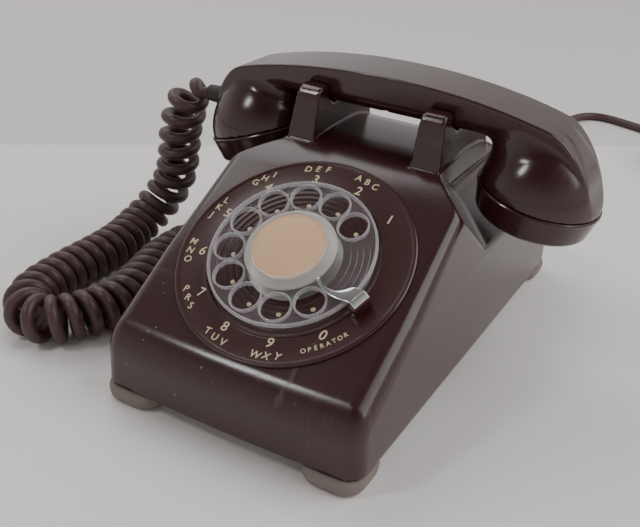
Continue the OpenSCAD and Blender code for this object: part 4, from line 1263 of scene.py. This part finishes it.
@dataclass
class Handset(Assembly):
    """The handle with its two cups, and the screw caps on them."""

    body: str = "handset"
    cup_x: Pair = (72.2, 80.2)
    lean: Pair = (19.0, 10.0)
    hollow: Pair = (9.0, 15.0)
    reach: Pair = (97.3, 107.2)
    end_r: Pair = (38.0, 50.0)
    end_z: Pair = (92.5, 83.0)
    middle_x: float = 3.6
    top_z: float = 133.4
    arch: float = 700.0
    bar_half: float = 17.0
    flank: float = 7.6
    under_z: float = 114.0
    grip: float = 58.0
    bores: tuple = ((22.5, 4), (16.5, 21))
    middle_y: float = CRADLE_Y
    part_z: float = 89.6
    cup_r: float = 29.2
    cap_r: float = 30.2
    cap_h: float = 14.2
    cell: float = 0.92

    def form(self, x: Array, y: Array, z: Array) -> Array:
        """The handle: an arched bar with a flat top and round ends, and a cup at each end.

        Each cup is a leaning dome, r = cup_r - 0.022 height^2 over its parting plane. The
        bar's round underside drops away past the grip, so its sides go on down to it.

        Args:
            x: places across the telephone, in millimetres.
            y: places along it.
            z: heights.

        Returns:
            The field at those places, negative inside.
        """
        mouth = x < self.middle_x
        cup_x, lean, hollow, reach, end_r, end_z = (
            np.where(mouth, *pair) for pair in (self.cup_x, np.radians(self.lean), self.hollow,
                                                self.reach, self.end_r, self.end_z))
        far, off = np.abs(x - self.middle_x), np.abs(y - self.middle_y)
        s, c = np.sin(lean), np.cos(lean)
        side = np.where(mouth, -x, x)
        out, up = side - cup_x, z - self.part_z
        height = out * s + up * c
        radial = np.hypot(out * c - up * s, off)
        arch = z - self.top_z + far * far / self.arch + 2.6 * (far / 100) ** 6
        past = side - reach + end_r
        end = np.hypot(np.maximum(past, 0), np.maximum(z - end_z, 0)) - end_r
        end = end - np.maximum(-past, 0) * 0.3
        outline = both(arch, end - 4 * np.clip(1 - height / 13, 0, 1) ** 2, 2.0)
        slope = radians(self.flank)
        flank = (off - self.bar_half + (133.5 - z) * tan(slope)) * cos(slope)
        under = self.under_z - z - np.maximum(far - self.grip, 0) ** 2 / 40
        bar = both(both(flank, under, 7), end, 1.5)
        cup = radial - self.cup_r + 0.022 * np.maximum(height, 0) ** 2
        hollow = hollow * (0.08 + 0.92 / (1 + np.exp((out + 4) / 5)))
        solid = both(both(either(cup, bar, hollow), outline, 1.1), -height, 0.5)
        bore = np.minimum(*(np.maximum(radial - r, height - deep) for r, deep in self.bores))
        cord = np.maximum(np.hypot(off, z - 99) - 3.0, x + 72)
        return np.maximum(solid, -np.minimum(bore, cord))

    def build(self) -> None:
        """Makes the handle and both caps."""
        skin = mould(self.form, (-103.0, -10.4, 78.2), (112.2, 53.4, 135.6), self.cell)
        self.piece("handle", skin, Finish.HANDSET, "handset", ["handset_shell"])
        self.cap("transmitter_cap", -1, ((0, 1, 1.2), (5, 6, 1.2), (10, 12, 1.2), (15, 18, 1.2)))
        self.cap("receiver_cap", 1, ((0, 1, 1.3), (6, 6, 1.3)))

    def cap(self, node: str, side: int, rings: Sequence[Triple]) -> None:
        """A screw cap: a turned wall with a rolled rim round a flat face with holes.

        Args:
            node: the solid that it takes the place of.
            side: -1 for the left cup, 1 for the right.
            rings: radius, number of holes and radius of a hole for each ring of holes.
        """
        r, h = self.cap_r, self.cap_h
        wall = rounded([(20.5, 1.0, 0), (r - 7, 0.5, 2), (r - 4.6, 0.0, 1.5), (r - 2.7, 1.8, 2.0),
                        (r - 0.4, h - 2.0, 3), (r, h - 0.9, 0.4), (r - 0.6, h - 0.15, 0.3),
                        (r - 2.9, h - 0.15, 0), (r - 2.9, 8.8, 0.5), (r - 7, 3.6, 0.8),
                        (20.5, 3.6, 0)])
        holes = [circle(hole, 16, spot)[::-1] for ring, count, hole in rings
                 for spot in circle(ring, count)]
        face = plate([circle(20.7, 96)] + holes, 1.0, 3.6, 0.25)
        which = 0 if side < 0 else 1
        place = (Matrix.Translation((side * self.cup_x[which], self.middle_y, self.part_z))
                 @ spin(side * self.lean[which], "Y") @ Matrix.Translation((0, 0, -h)))
        self.piece(node.replace("cap", "screw_cap"), revolve(wall, 128).joined(face).placed(place),
                   Finish.HANDSET, "handset", [node])


# ---------------- works


# The solids that no piece takes the place of, by their finish.
BARE = {
    Finish.PLATED: """base_plate housing_screws dial_frame dial_brackets dial_screws ringer_frame
        gong_screws hook_bracket card_holder dial_shaft hook_lever clapper""",
    Finish.SPRING: "return_spring",
    Finish.BRASS: """governor_cup network_terminals pulse_pinion governor main_gear hook_springs
        pulse_springs""",
    Finish.BELL: "gong_left gong_right",
    Finish.CAN: "capacitor transmitter_unit",
    Finish.WINDING: "ringer_coils",
    Finish.MAGNET: "ringer_core ringer_magnet",
    Finish.POTTING: "network_box",
    Finish.TRIM: """plunger_left plunger_right volume_wheel receiver_unit line_plug
        line_cord_tie""",
    Finish.GLAND: "handset_cord_grommet line_cord_grommet",
}


class Works:
    """The solids that stay as they are."""

    def build(self) -> None:
        """Gives every solid that still shows its finish."""
        for finish, names in BARE.items():
            for name in names.split():
                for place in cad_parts[name].material_slots:
                    place.material = finish.material
                LOG.info("%s: %s", name, finish.value.name)


def main() -> None:
    """Builds the studio, then the telephone from the table up, and logs every piece."""
    for step in (Studio(), Cords(), Housing(), Feet(), Dial(), Handset(), Works()):
        step.build()


if __name__ == "__main__":
    main()
